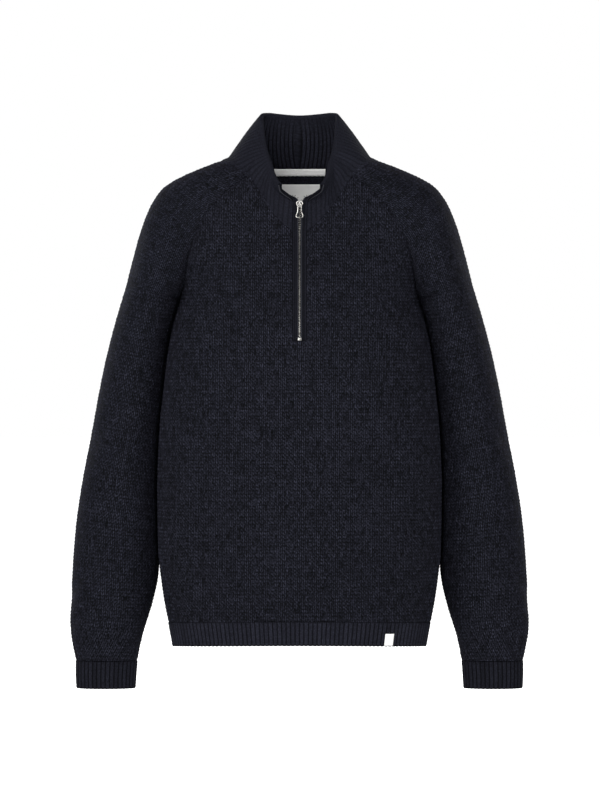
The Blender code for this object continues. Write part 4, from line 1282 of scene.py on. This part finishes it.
@lru_cache(maxsize=None)
def collar_form():
    """The folded collar: up the outside, over the rounded rim and down the inside."""
    shares = np.linspace(0, 1, 91)
    rise = np.linspace(0, 1, 61)
    base = np.array([whole_row(*(np.array([collar_point(u, v, side) for u in shares])
                                 for side in (1, -1))) for v in rise])
    normals = unit(-np.cross(np.gradient(base, axis=0), np.gradient(base, axis=1)))
    base = base - normals * collar_sink(shares, rise)[..., None]
    normals = unit(-np.cross(np.gradient(base, axis=0), np.gradient(base, axis=1)))
    normals[:, 0] = [collar_edge(v, 1)[3] for v in rise]
    normals[:, -1] = np.array([collar_edge(v, -1)[3] for v in rise]) * (-1, 1, 1)
    radius = RIM_RADIUS
    height = np.linalg.norm(base[-1] - base[0], axis=1)
    stop = (1 - radius / height) * (len(rise) - 1)
    column = np.arange(base.shape[1], dtype=float)
    up = unit(base[-1] - base[-4])
    rows, outs = [], []

    def foot(drop):
        line = whole_row(neck_seam(drop)(shares))
        above = whole_row(neck_seam(0.0)(shares)) - line
        return line, unit(-np.cross(above, np.gradient(line, axis=0)))

    for drop, proud in zip((COLLAR_LAP, COLLAR_LAP / 2), LAP_PROUD):
        line, out = foot(drop)
        rows.append(line + out * proud)
        outs.append(out)
    for share in np.linspace(0.03, 1, 40):
        out = unit(sample(normals, stop * share, column))
        rows.append(sample(base, stop * share, column))
        outs.append(out)
    top, out = rows[-1], outs[-1]
    for angle in np.linspace(0, math.pi, RIM_STEPS + 2)[1:-1]:
        way = out * math.cos(angle) + up * math.sin(angle)
        rows.append(top - out * radius + way * radius)
        outs.append(way)
    for share in np.linspace(1, 0.03, 40):
        out = unit(sample(normals, stop * share, column))
        thick = COLLAR_CLOTH + (2 * RIM_RADIUS - COLLAR_CLOTH) * share ** RIM_SWELL
        rows.append(sample(base, stop * share, column) - out * thick)
        outs.append(-out)
    for drop in (INNER_LAP / 2, INNER_LAP):
        line, out = foot(drop)
        rows.append(line - out * (CLOTH + LAP_BEHIND))
        outs.append(-out)
    points, normals = np.array(rows), np.array(outs)
    heights = row_heights(points)
    halves = np.full(len(heights), distances(base[len(rise) // 2])[-1] / 2)
    return Form(heights, halves, halves, points, normals)


def build_collar():
    """The collar in one piece: ribs outside, a plain rim and bolder ribs inside."""
    form = collar_form()
    knit = bpy.context.scene.sweater_knit
    length = form.heights[-1]
    ribs = 2 * COLLAR_RIBS
    rows = 2 * round(length / COLLAR_COURSE)
    bm = bmesh.new()
    groove_shade = bm.verts.layers.float.new("rise")
    made, column, row = grid_steps(bm, 6 * ribs, rows)
    _, way, rise = rib_points(column, row, rows, ribs, np.random.default_rng(COLLAR_SEED))
    bold = np.clip((way - 0.5 - PLAIN_RIM * 0.6) / PLAIN_RIM, 0, 1)
    smooth = SMOOTH_OUTSIDE + (1 - SMOOTH_OUTSIDE) * bold
    smooth = smooth * (1 - RIM_SMOOTH * np.exp(-((way - 0.5) / RIM_REACH) ** 2))
    share = 2 * column / (6 * ribs) - 1
    low_down = np.clip(np.abs(2 * way - 1), 0, 1)
    share = share - RIB_FAN * np.sin(math.pi * share) * low_down
    x = share * form.halves[0]
    from_end = np.clip((form.halves[0] - np.abs(x)) / COLLAR_END_ROUND, 0, 1)
    sunk = COLLAR_END_ROUND * (1 - np.sqrt(1 - (1 - from_end) ** 2))
    out = knit.rib_relief / MM * (rise * smooth - RIB_SUNK) * from_end - sunk
    # painted shade: dark in the ribs' grooves, lighter where the ribs are smoothed, every second
    # row lighter
    tone = RIB_GROOVE_SHADE + (1 - RIB_GROOVE_SHADE) * rise * smooth
    tone = tone + (1 - smooth) * COLLAR_PLAIN_SHADE * (0.8 + 0.4 * (row % 2) - RIB_GROOVE_SHADE)
    for vert, spot, top in zip(made, np.column_stack([x, way * length, out]), tone):
        vert.co = spot
        vert[groove_shade] = top
    flat = read(bm)
    low = [edge for edge in bm.edges if edge.is_boundary and all(
        vert.co.y < 1e-3 or vert.co.y > length - 1e-3 for vert in edge.verts)]
    write(bm, form.lay(flat))
    bmesh.ops.bridge_loops(bm, edges=low)
    bmesh.ops.holes_fill(bm, edges=[edge for edge in bm.edges if edge.is_boundary])
    bmesh.ops.triangulate(bm, faces=[face for face in bm.faces if len(face.verts) > 4])
    piece = finish_mesh("ribbed_collar", bm, rib_wool("collar_wool", COLLAR_SHADE),
                        uv=flat[:, :2])
    dress(piece, "navy_rib", "collar", held="folded", rests_on=["front", "back"],
          flat=(2 * form.halves[0] * MM, length / 2 * MM))


# ---------------------------------------------------------------- the zip
TUCK = 0.5              # the facing starts this far under the panel's edge
STRIP_SHOWN = 5.6       # width of the facing that shows beside the zip's tape
TAPE_PAST = 0.9         # how far the tape reaches on under the teeth
FACING_COURSE = 3.2
TAPE_CELL = 4.0
TOOTH_REACH = 1.45      # from the tape's edge to the tip of a tooth
TOOTH_HEIGHT = 1.1
TOOTH_DEPTH = 2.0
TOOTH_CLAMP = 0.62      # share of a tooth that clamps the tape; the rest is its head
TOOTH_TIP = (1, 0.62, 0.72)  # the head's tip against its root
TOOTH_BEVEL = 0.16
TOOTH_PAST = 0.3        # a tooth's tip reaches this far past the zip's middle
TEETH_SUNK = 0.3        # how far the teeth lie below the edge's surface


def tooth(bm, matrix):
    """Adds one metal tooth, clamped on the tape at its broad end and with a narrower head."""
    clamp = TOOTH_REACH * TOOTH_CLAMP
    made = bmesh.ops.create_cube(bm, size=1.0)["verts"]
    bmesh.ops.scale(bm, vec=(clamp, TOOTH_HEIGHT, TOOTH_DEPTH), verts=made)
    bmesh.ops.translate(bm, vec=(clamp / 2, 0, 0), verts=made)
    faces = list({face for vert in made for face in vert.link_faces})
    head = max(faces, key=lambda face: face.calc_center_median().x)
    grown = bmesh.ops.extrude_discrete_faces(bm, faces=[head])["faces"][0]
    tip = list(grown.verts)
    bmesh.ops.translate(bm, vec=(TOOTH_REACH - clamp, 0, 0), verts=tip)
    bmesh.ops.scale(bm, vec=TOOTH_TIP, verts=tip)
    for vert in set(made) | set(tip):
        vert.co = matrix @ vert.co


def frame_matrix(place, across, up, out):
    """A matrix in millimetres whose axes are a zip frame's ways."""
    turn = Matrix((across, up, out)).transposed().to_4x4()
    return Matrix.Translation(place) @ turn


def zip_stations(bottom, side, pitch, start):
    """Frames up one edge at an even pitch, from a height."""
    frames = zip_frames(bottom, side)
    way = distances(np.array([frame[0] for frame in frames]))
    at = np.arange(start, way[-1], pitch)
    table = np.array([np.concatenate(frame) for frame in frames])
    return [(row[:3], unit(row[3:6]), unit(row[6:9]), unit(row[9:12]))
            for row in spread(at, way, table)]


def build_zip_side(side, hand):
    """One side's knitted facing, woven tape and teeth."""
    knit = bpy.context.scene.sweater_knit
    bottom = SLIT_BOTTOM_Z + GAP
    strip = zip_form(bottom, -TUCK, STRIP_SHOWN, side)
    length = strip.heights[-1]
    half = strip.halves[0]
    bm = rib_band(2, 0, length, lambda y: half + y * 0, STRIP,
                  FACING_RELIEF * knit.relief / MM, FACING_COURSE, seed=side)
    # the facing's darker wool is painted shade beside the zip
    piece = laid(f"facing_{hand}", bm, strip,
                 wool("facing_wool", FACING_COURSE, FACING_COURSE, FACING_SHADE, RIB_CALM))
    dress(piece, "navy_rib", f"edge_strip_{hand}")
    tape = zip_form(bottom, GAP, GAP + EDGE_STRIP + TAPE_PAST, side)
    bm = rib_band(1, 0, length, lambda y: tape.halves[0] + y * 0, WOVEN_TAPE, 0.0, TAPE_CELL,
                  out=-(STRIP + GAP))
    colour = bpy.context.scene.sweater_zip.tape
    piece = laid(f"woven_tape_{hand}", bm, tape, woven("zip_weave", colour, 0.5, 0.8))
    dress(piece, "zip_tape", f"zip_tape_{hand}")
    build_teeth(side, hand)


def build_teeth(side, hand):
    """One side's teeth; the two sides are half a pitch apart, so that they mesh."""
    pitch = bpy.context.scene.sweater_zip.pitch / MM
    bm = bmesh.new()
    root = ZIP_HALF_OPENING + TOOTH_PAST - TOOTH_REACH
    start = pitch * (0.5 if side > 0 else 1.0)
    mirror = np.array([side, 1, 1])
    for point, inward, up, out in zip_stations(ZIP_BOTTOM_Z, side, pitch, start):
        place = point + inward * root - out * (TOOTH_DEPTH / 2 + TEETH_SUNK)
        tooth(bm, frame_matrix(place * mirror, inward * mirror, up * mirror, out * mirror))
    bmesh.ops.bevel(bm, geom=bm.edges[:], offset=TOOTH_BEVEL, affect="EDGES", segments=1,
                    profile=0.5, material=-1)
    piece = finish_mesh(f"teeth_{hand}", bm, blotched_metal("tooth_metal", TOOTH_SHADE),
                        smooth=False)
    dress(piece, "silver_metal", f"zip_chain_{hand}")


# The bottom stop's width, depth and height
STOP_SIZE = (5.0, 2.6, 4.2)
STOP_ROUND = 0.6
STOP_PROUD = 0.2


def build_stop():
    """The block that ends the zip at its foot."""
    form = torso_form(FRONT)
    front = form.lay([(0, ZIP_BOTTOM_Z, 0)])[0]
    bm = bmesh.new()
    bmesh.ops.create_cube(bm, size=1.0)
    bmesh.ops.scale(bm, vec=STOP_SIZE, verts=bm.verts)
    bmesh.ops.bevel(bm, geom=bm.edges[:], offset=STOP_ROUND, affect="EDGES", segments=2,
                    profile=0.5, material=-1)
    middle = (ZIP_BOTTOM_Z + SLIT_BOTTOM_Z) / 2
    bmesh.ops.translate(bm, vec=(0, front[1] + STOP_SIZE[1] / 2 - STOP_PROUD, middle),
                        verts=bm.verts)
    piece = finish_mesh("bottom_stop", bm, blotched_metal(), smooth=False)
    dress(piece, "silver_metal", "zip_stop")


# The slider's crown and the pull's outline and window, right halves from the top: x, z.
SLIDER_HALF = ((1.7, 4.3), (3.5, 3.6), (4.6, 2.2), (4.7, 0.6), (3.9, -1.2), (3.1, -3.0),
               (1.9, -4.0))
CROWN_WINDOW_HALF = ((1.1, 3.4), (2.6, 2.9), (3.6, 1.9), (3.7, 0.6), (3.0, -0.9), (2.3, -2.4),
                     (1.1, -3.2))
PULL_HALF = ((1.2, 0.7), (2.3, 0.1), (2.7, -1.6), (3.1, -10.4), (3.9, -12.6), (5.0, -14.8),
             (5.2, -16.6), (4.8, -18.2), (3.6, -18.9))
PULL_WINDOW_HALF = ((0.7, -0.5), (1.3, -0.9), (1.7, -2.0), (2.1, -10.8), (2.8, -13.2),
                    (3.9, -15.4), (4.0, -16.6), (3.7, -17.5), (2.9, -18.2))
CROWN_THICK = 1.4
CROWN_BORDER = 0.8      # how far the bright border stands up from the crown
BAIL_REACH = 4.2        # from the crown's front to the bail's
BAIL_HALF = 0.9
BAIL_WIRE = 1.1
BAIL_ROOT = 0.3         # the bail's legs reach this far into the crown
# The bail's lower and upper height, from the slider's middle
BAIL_OUTSIDE, BAIL_INSIDE = (-3.6, 2.6), (-2.5, 1.5)
METAL_ROUND = 0.3
SHARP_EDGE = math.radians(30)
# How bright the teeth and the slider's plate are, against the plated metal; the plate's darkness
# is painted shade in the crown's hollow
TOOTH_SHADE, CROWN_SHADE = 0.6, 0.18


def whole_outline(half):
    """A closed outline at the slider's height, from its right half."""
    line = list(half) + [(-x, z) for x, z in half[::-1]]
    return [(x, z + SLIDER_Z) for x, z in line]


def flat_plate(bm, outline, window, front, thickness):
    """Adds a plate in the plane of the front, with a window where one is given."""
    loops = []
    for line in (outline, window):
        verts = [bm.verts.new((x, front, z)) for x, z in line]
        loops.append([bm.edges.new((a, b)) for a, b in zip(verts, verts[1:] + verts[:1])]
                     if verts else [])
    if window:
        faces = bmesh.ops.bridge_loops(bm, edges=loops[0] + loops[1])["faces"]
    else:
        faces = [bm.faces.new([edge.verts[0] for edge in loops[0]])]
    thickened(bm, faces, (0, thickness, 0))


def thickened(bm, faces, way):
    """Makes flat faces a solid by extruding them."""
    grown = bmesh.ops.extrude_face_region(bm, geom=faces)["geom"]
    moved = [part for part in grown if isinstance(part, bmesh.types.BMVert)]
    bmesh.ops.translate(bm, vec=way, verts=moved)


def rounded(bm):
    """Bevels a metal part's sharp edges."""
    bm.normal_update()
    edges = [edge for edge in bm.edges if edge.calc_face_angle(0) > SHARP_EDGE]
    bmesh.ops.bevel(bm, geom=edges, offset=METAL_ROUND, affect="EDGES", segments=2,
                    profile=0.5, material=-1)


def joined(bm, other):
    """Adds another bmesh's shape to a bmesh."""
    mesh = bpy.data.meshes.new("part")
    other.to_mesh(mesh)
    other.free()
    bm.from_mesh(mesh)
    bpy.data.meshes.remove(mesh)


def add_crown(bm, front):
    """The slider's plate, painted dark as shade inside its bright raised border."""
    flat_plate(bm, whole_outline(SLIDER_HALF), [], front, CROWN_THICK)
    # painted shade: the plate takes the darker copy of the metal
    for face in bm.faces:
        face.material_index = 1
    border = bmesh.new()
    flat_plate(border, whole_outline(SLIDER_HALF), whole_outline(CROWN_WINDOW_HALF),
               front - CROWN_BORDER, CROWN_BORDER)
    rounded(border)
    joined(bm, border)


def bail_line(root, front, heights):
    """Three sides of a box seen from the side: depth, height."""
    low, high = heights
    return [(root, low), (front, low), (front, high), (root, high)]


def add_bail(bm, root, front):
    """The loop on the crown that the pull hangs in."""
    bail = bmesh.new()
    line = bail_line(root, front, BAIL_OUTSIDE)
    line += bail_line(root, front + BAIL_WIRE, BAIL_INSIDE)[::-1]
    verts = [bail.verts.new((-BAIL_HALF, y, z + SLIDER_Z)) for y, z in line]
    thickened(bail, [bail.faces.new(verts)], (2 * BAIL_HALF, 0, 0))
    rounded(bail)
    joined(bm, bail)


def build_slider():
    """The slider's crown and bail in one piece."""
    bail_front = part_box("zip_slider")[0][1] / MM
    crown_front = bail_front + BAIL_REACH
    bm = bmesh.new()
    add_crown(bm, crown_front)
    add_bail(bm, crown_front + BAIL_ROOT, bail_front)
    piece = finish_mesh("slider", bm, blotched_metal(), smooth=False)
    # the darker copy of the metal is the crown plate's painted shade
    piece.data.materials.append(blotched_metal("shaded_metal", CROWN_SHADE))
    dress(piece, "silver_metal", "zip_slider")


def build_pull():
    """The pull tab, a plate with a window, as thick as its solid."""
    low, high = (np.array(corner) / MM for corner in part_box("zip_pull"))
    bm = bmesh.new()
    flat_plate(bm, whole_outline(PULL_HALF), whole_outline(PULL_WINDOW_HALF), low[1],
               high[1] - low[1])
    rounded(bm)
    piece = finish_mesh("pull_tab", bm, blotched_metal(), body=PULL_BODY, smooth=False)
    dress(piece, "silver_metal", "zip_pull")


# ---------------------------------------------------------------- labels and seams
LABEL_COLUMNS = 12
LABEL_CELL, HEM_LABEL_CELL = 3.0, 2.0


def build_label(name, node_name, finish, half, heights, depth):
    """A bare woven label inside the back of the neck."""
    form = torso_form(BACK)
    bm = rib_band(LABEL_COLUMNS, *heights, lambda y: half + y * 0, PATCH, 0.0, LABEL_CELL,
                  out=-depth)
    piece = laid(name, bm, form, finish)
    dress(piece, "white_label", node_name, rests_on=["back"],
          flat=(2 * half * MM, (heights[1] - heights[0]) * MM))


def build_hem_label():
    """The small bare tab on the outside of the hem, leaning a little."""
    trim = bpy.context.scene.sweater_trim
    form = torso_form(FRONT)
    (first, last), (low, high) = HEM_LABEL
    half = (last - first) / 2
    bm = rib_band(2, low, high, lambda y: half + y * 0, PATCH, 0.0, HEM_LABEL_CELL,
                  out=RIB_CLOTH / 3 + GAP + PATCH)
    for vert in bm.verts:
        vert.co.x += (first + last) / 2 + HEM_LABEL_LEAN * (vert.co.y - low)
    piece = laid("hem_tab", bm, form, woven("label_weave", trim.label, 0.45, 0.75))
    dress(piece, "white_label", "hem_label", rests_on=["hem_rib_front"],
          flat=((last - first) * MM, (high - low) * MM))


# Linking stitches: from one to the next, their painted shade, their size along, across and out
JOIN_PITCH = 2.6
JOIN_SHADE = 0.6
JOIN_SIZE = (4.0, 2.4, 2.2)
JOIN_SUNK = 0.15


def beads(name, places, ways, outs, finish):
    """A row of linking stitches, each a small bead."""
    bm = bmesh.new()
    groove_shade = bm.verts.layers.float.new("rise")
    for place, way, out in zip(places, ways, outs):
        side = np.cross(out, way)
        matrix = frame_matrix(place, way, unit(side), out)
        made = bmesh.ops.create_icosphere(bm, subdivisions=1, radius=0.5)["verts"]
        bmesh.ops.scale(bm, vec=JOIN_SIZE, verts=made)
        for vert in made:
            vert.co = matrix @ vert.co
            # painted shade of a stitch sunk in the seam
            vert[groove_shade] = JOIN_SHADE
    return finish_mesh(name, bm, finish, uv=read(bm)[:, [0, 2]])


def seam_join(name, lines):
    """The linking stitches that close a seam, sunk between the edges that they join."""
    places, ways, outs = [], [], []
    for points, normals in lines:
        way = distances(points)
        at = np.arange(JOIN_PITCH / 2, way[-1], JOIN_PITCH)
        line = spread(at, way, points)
        out = unit(spread(at, way, normals))
        run = unit(np.gradient(line, axis=0))
        places += list(line - out * (JOIN_SIZE[2] / 2 + JOIN_SUNK))
        ways += list(run)
        outs += list(unit(out - run * (out * run).sum(axis=1, keepdims=True)))
    piece = beads(name, places, ways, outs, plain_wool())


def form_line(form, flat, side):
    """Points and normals along a line drawn on a form."""
    points, normals = form.read(np.asarray(flat, float))
    mirror = np.array([side, 1, 1])
    return points * mirror, normals * mirror


def build_joins():
    """The stitches along the raglan seams and the side seams."""
    raglans, sides = [], []
    for side in (1, -1):
        for face in (FRONT, BACK):
            form = torso_form(face)
            z = np.linspace(UNDERARM_Z, RAGLAN[face][-1][0], 120)
            raglans.append(form_line(form, np.column_stack([form.edge(z), z, z * 0]), side))
        z = np.linspace(HEM_TOP_Z - HEM_RIB, UNDERARM_Z, 120)
        form = torso_form(FRONT)
        sides.append(form_line(form, np.column_stack([form.edge(z), z, z * 0]), side))
    seam_join("raglan_joins", raglans)
    seam_join("side_joins", sides)


# ---------------------------------------------------------------- operators
class SWEATER_OT_body(Operator):
    """Knit the front and the back"""

    bl_idname = "sweater.body"
    bl_label = "Front and Back"

    def execute(self, context):
        build_panel("front_panel", "front", FRONT, 11)
        build_panel("back_panel", "back", BACK, 12)
        return {"FINISHED"}


class SWEATER_OT_sleeves(Operator):
    """Knit the two raglan sleeves"""

    bl_idname = "sweater.sleeves"
    bl_label = "Sleeves"

    def execute(self, context):
        build_sleeve("sleeve_of_left_arm", "sleeve_left", 1, 21)
        build_sleeve("sleeve_of_right_arm", "sleeve_right", -1, 22)
        return {"FINISHED"}


class SWEATER_OT_ribbing(Operator):
    """Knit the ribbing of the hem and the cuffs"""

    bl_idname = "sweater.ribbing"
    bl_label = "Hem and Cuffs"

    def execute(self, context):
        build_hem("hem_front", "hem_rib_front", FRONT, "front")
        build_hem("hem_back", "hem_rib_back", BACK, "back")
        build_cuff("cuff_of_left_arm", "cuff_left", 1, "sleeve_left")
        build_cuff("cuff_of_right_arm", "cuff_right", -1, "sleeve_right")
        return {"FINISHED"}


class SWEATER_OT_collar(Operator):
    """Knit the folded ribbed collar"""

    bl_idname = "sweater.collar"
    bl_label = "Collar"

    def execute(self, context):
        build_collar()
        return {"FINISHED"}


class SWEATER_OT_zip(Operator):
    """Make the zip's facings, tapes, teeth and stop"""

    bl_idname = "sweater.zip"
    bl_label = "Zip"

    def execute(self, context):
        build_zip_side(1, "left")
        build_zip_side(-1, "right")
        build_stop()
        return {"FINISHED"}


class SWEATER_OT_slider(Operator):
    """Make the slider and the pull tab that hangs from it"""

    bl_idname = "sweater.slider"
    bl_label = "Slider and Pull Tab"

    def execute(self, context):
        build_slider()
        build_pull()
        return {"FINISHED"}


class SWEATER_OT_labels(Operator):
    """Sew in the bare labels"""

    bl_idname = "sweater.labels"
    bl_label = "Labels"

    def execute(self, context):
        trim = context.scene.sweater_trim
        white = woven("label_weave", trim.label, 0.45, 0.75)
        satin = woven("satin_weave", trim.satin, 0.3, 0.38)
        build_label("neck_binding", "neck_tape", white, *NECK_TAPE, BEHIND + TAPE_PROUD)
        build_label("satin_label", "neck_label", satin, *NECK_LABEL, BEHIND)
        build_hem_label()
        return {"FINISHED"}


class SWEATER_OT_joins(Operator):
    """Link the pieces along their seams"""

    bl_idname = "sweater.joins"
    bl_label = "Seams"

    def execute(self, context):
        build_joins()
        return {"FINISHED"}


class SWEATER_OT_stage(Operator):
    """Set the floor, the lights and the camera"""

    bl_idname = "sweater.stage"
    bl_label = "Stage"

    def execute(self, context):
        build_stage()
        return {"FINISHED"}


# In metres: what the camera and the lights aim at, and the floor
CENTRE = Vector((0.0007, 0.0, -0.336))
FLOOR_Z = -0.92
FLOOR_RADIUS = 60
FLOOR_GLOW = 0.75
SENSOR = 24             # height of the camera's sensor, in millimetres
# Each light's name, place and size in metres, and the setting with its power
LIGHTS = (
    ("key_light", (-2.4, -2.2, 1.7), (1.1, 1.1), "key"),
    ("fill_light", (2.8, -2.4, 0.2), (1.8, 2.2), "fill"),
    ("front_light", (-0.6, -4.2, 1.2), (2.2, 2.2), "front"),
    ("left_back_light", (-2.6, 3.0, 1.2), (1.8, 1.8), "behind"),
    ("right_back_light", (2.6, 3.0, 1.2), (1.8, 1.8), "behind"),
)


def add_area(name, place, size, power):
    """A large soft light that aims at the sweater and isn't seen itself."""
    data = bpy.data.lights.new(name, "AREA")
    data.shape = "RECTANGLE"
    data.size, data.size_y = size
    data.energy = power
    lamp = bpy.data.objects.new(name, data)
    lamp.location = place
    lamp.rotation_euler = (CENTRE - Vector(place)).to_track_quat("-Z", "Y").to_euler()
    lamp.visible_camera = False
    bpy.context.scene.collection.objects.link(lamp)


def camera_only(tree, shader_socket, strength):
    """Feeds a strength that only rays straight from the camera see."""
    ray = node(tree, "ShaderNodeLightPath", (-600, -300))
    wire(tree, (math_node(tree, (-350, -300), "MULTIPLY", ray.outputs["Is Camera Ray"],
                          strength), shader_socket))


def build_floor(colour):
    """A wide pale floor, lit so that it reads as white as the room behind it."""
    bm = bmesh.new()
    bmesh.ops.create_circle(bm, cap_ends=True, segments=96, radius=FLOOR_RADIUS)
    bmesh.ops.translate(bm, vec=(0, 0, FLOOR_Z), verts=bm.verts)
    mesh = bpy.data.meshes.new("pale_floor")
    bm.to_mesh(mesh)
    bm.free()
    made, shader = plain_material("pale_floor", 0.9, specular=0.0)
    shader.inputs["Base Color"].default_value = (*colour, 1)
    shader.inputs["Emission Color"].default_value = (1, 1, 1, 1)
    camera_only(made.node_tree, shader.inputs["Emission Strength"], FLOOR_GLOW)
    mesh.materials.append(made)
    floor = bpy.data.objects.new("pale_floor", mesh)
    bpy.context.scene.collection.objects.link(floor)


def build_room(room):
    """Soft light all round, which the camera sees as white."""
    world = bpy.data.worlds.new("soft_studio")
    world.use_nodes = True
    tree = world.node_tree
    shade = tree.nodes["Background"]
    shade.inputs["Color"].default_value = (1, 1, 1, 1)
    ray = node(tree, "ShaderNodeLightPath", (-700, 0))
    seen = math_node(tree, (-450, 0), "MULTIPLY", ray.outputs["Is Camera Ray"], 1.0 - room)
    wire(tree, (math_node(tree, (-250, 0), "ADD", seen, room), shade.inputs["Strength"]))
    bpy.context.scene.world = world


def build_camera(distance, view_height):
    """A level camera straight in front."""
    data = bpy.data.cameras.new("camera")
    data.sensor_fit = "VERTICAL"
    data.sensor_height = SENSOR
    data.lens = SENSOR * distance / view_height
    camera = bpy.data.objects.new("camera", data)
    camera.location = (CENTRE.x, -distance, CENTRE.z)
    camera.rotation_euler = (math.pi / 2, 0, 0)
    bpy.context.scene.collection.objects.link(camera)
    bpy.context.scene.camera = camera


def build_stage():
    """The floor, the room, the lights and the camera."""
    stage = bpy.context.scene.sweater_stage
    bpy.context.scene.view_settings.view_transform = "Standard"
    build_floor(stage.floor)
    build_room(stage.room)
    for name, place, size, power in LIGHTS:
        add_area(name, place, size, getattr(stage, power))
    build_camera(stage.distance, stage.view_height)


class SWEATER_PT_panel(Panel):
    """The sweater's settings and steps"""

    bl_label = "Quarter Zip Sweater"
    bl_idname = "SWEATER_PT_panel"
    bl_space_type = "VIEW_3D"
    bl_region_type = "UI"
    bl_category = "Sweater"

    def draw(self, context):
        for group, _, title in SETTINGS:
            settings = getattr(context.scene, group)
            box = self.layout.box()
            box.label(text=title)
            for name in settings.__annotations__:
                box.prop(settings, name)
        for step in STEPS:
            self.layout.operator(step.bl_idname)


SETTINGS = (
    ("sweater_knit", KnitSettings, "Knit"),
    ("sweater_zip", ZipSettings, "Zip"),
    ("sweater_trim", TrimSettings, "Trim"),
    ("sweater_stage", StageSettings, "Stage"),
)
STEPS = (SWEATER_OT_body, SWEATER_OT_sleeves, SWEATER_OT_ribbing, SWEATER_OT_collar,
         SWEATER_OT_zip, SWEATER_OT_slider, SWEATER_OT_labels, SWEATER_OT_joins, SWEATER_OT_stage)


def register():
    """Adds the settings, the steps and the panel."""
    for group, kind, _ in SETTINGS:
        bpy.utils.register_class(kind)
        setattr(bpy.types.Scene, group, PointerProperty(type=kind))
    for step in STEPS + (SWEATER_PT_panel,):
        bpy.utils.register_class(step)


def unregister():
    """Takes them away again."""
    for step in STEPS + (SWEATER_PT_panel,):
        bpy.utils.unregister_class(step)
    for group, kind, _ in SETTINGS:
        delattr(bpy.types.Scene, group)
        bpy.utils.unregister_class(kind)


def main():
    """Builds every piece in order."""
    register()
    bpy.ops.sweater.body()
    bpy.ops.sweater.sleeves()
    bpy.ops.sweater.ribbing()
    bpy.ops.sweater.collar()
    bpy.ops.sweater.zip()
    bpy.ops.sweater.slider()
    bpy.ops.sweater.labels()
    bpy.ops.sweater.joins()
    bpy.ops.sweater.stage()


if __name__ == "__main__":
    main()
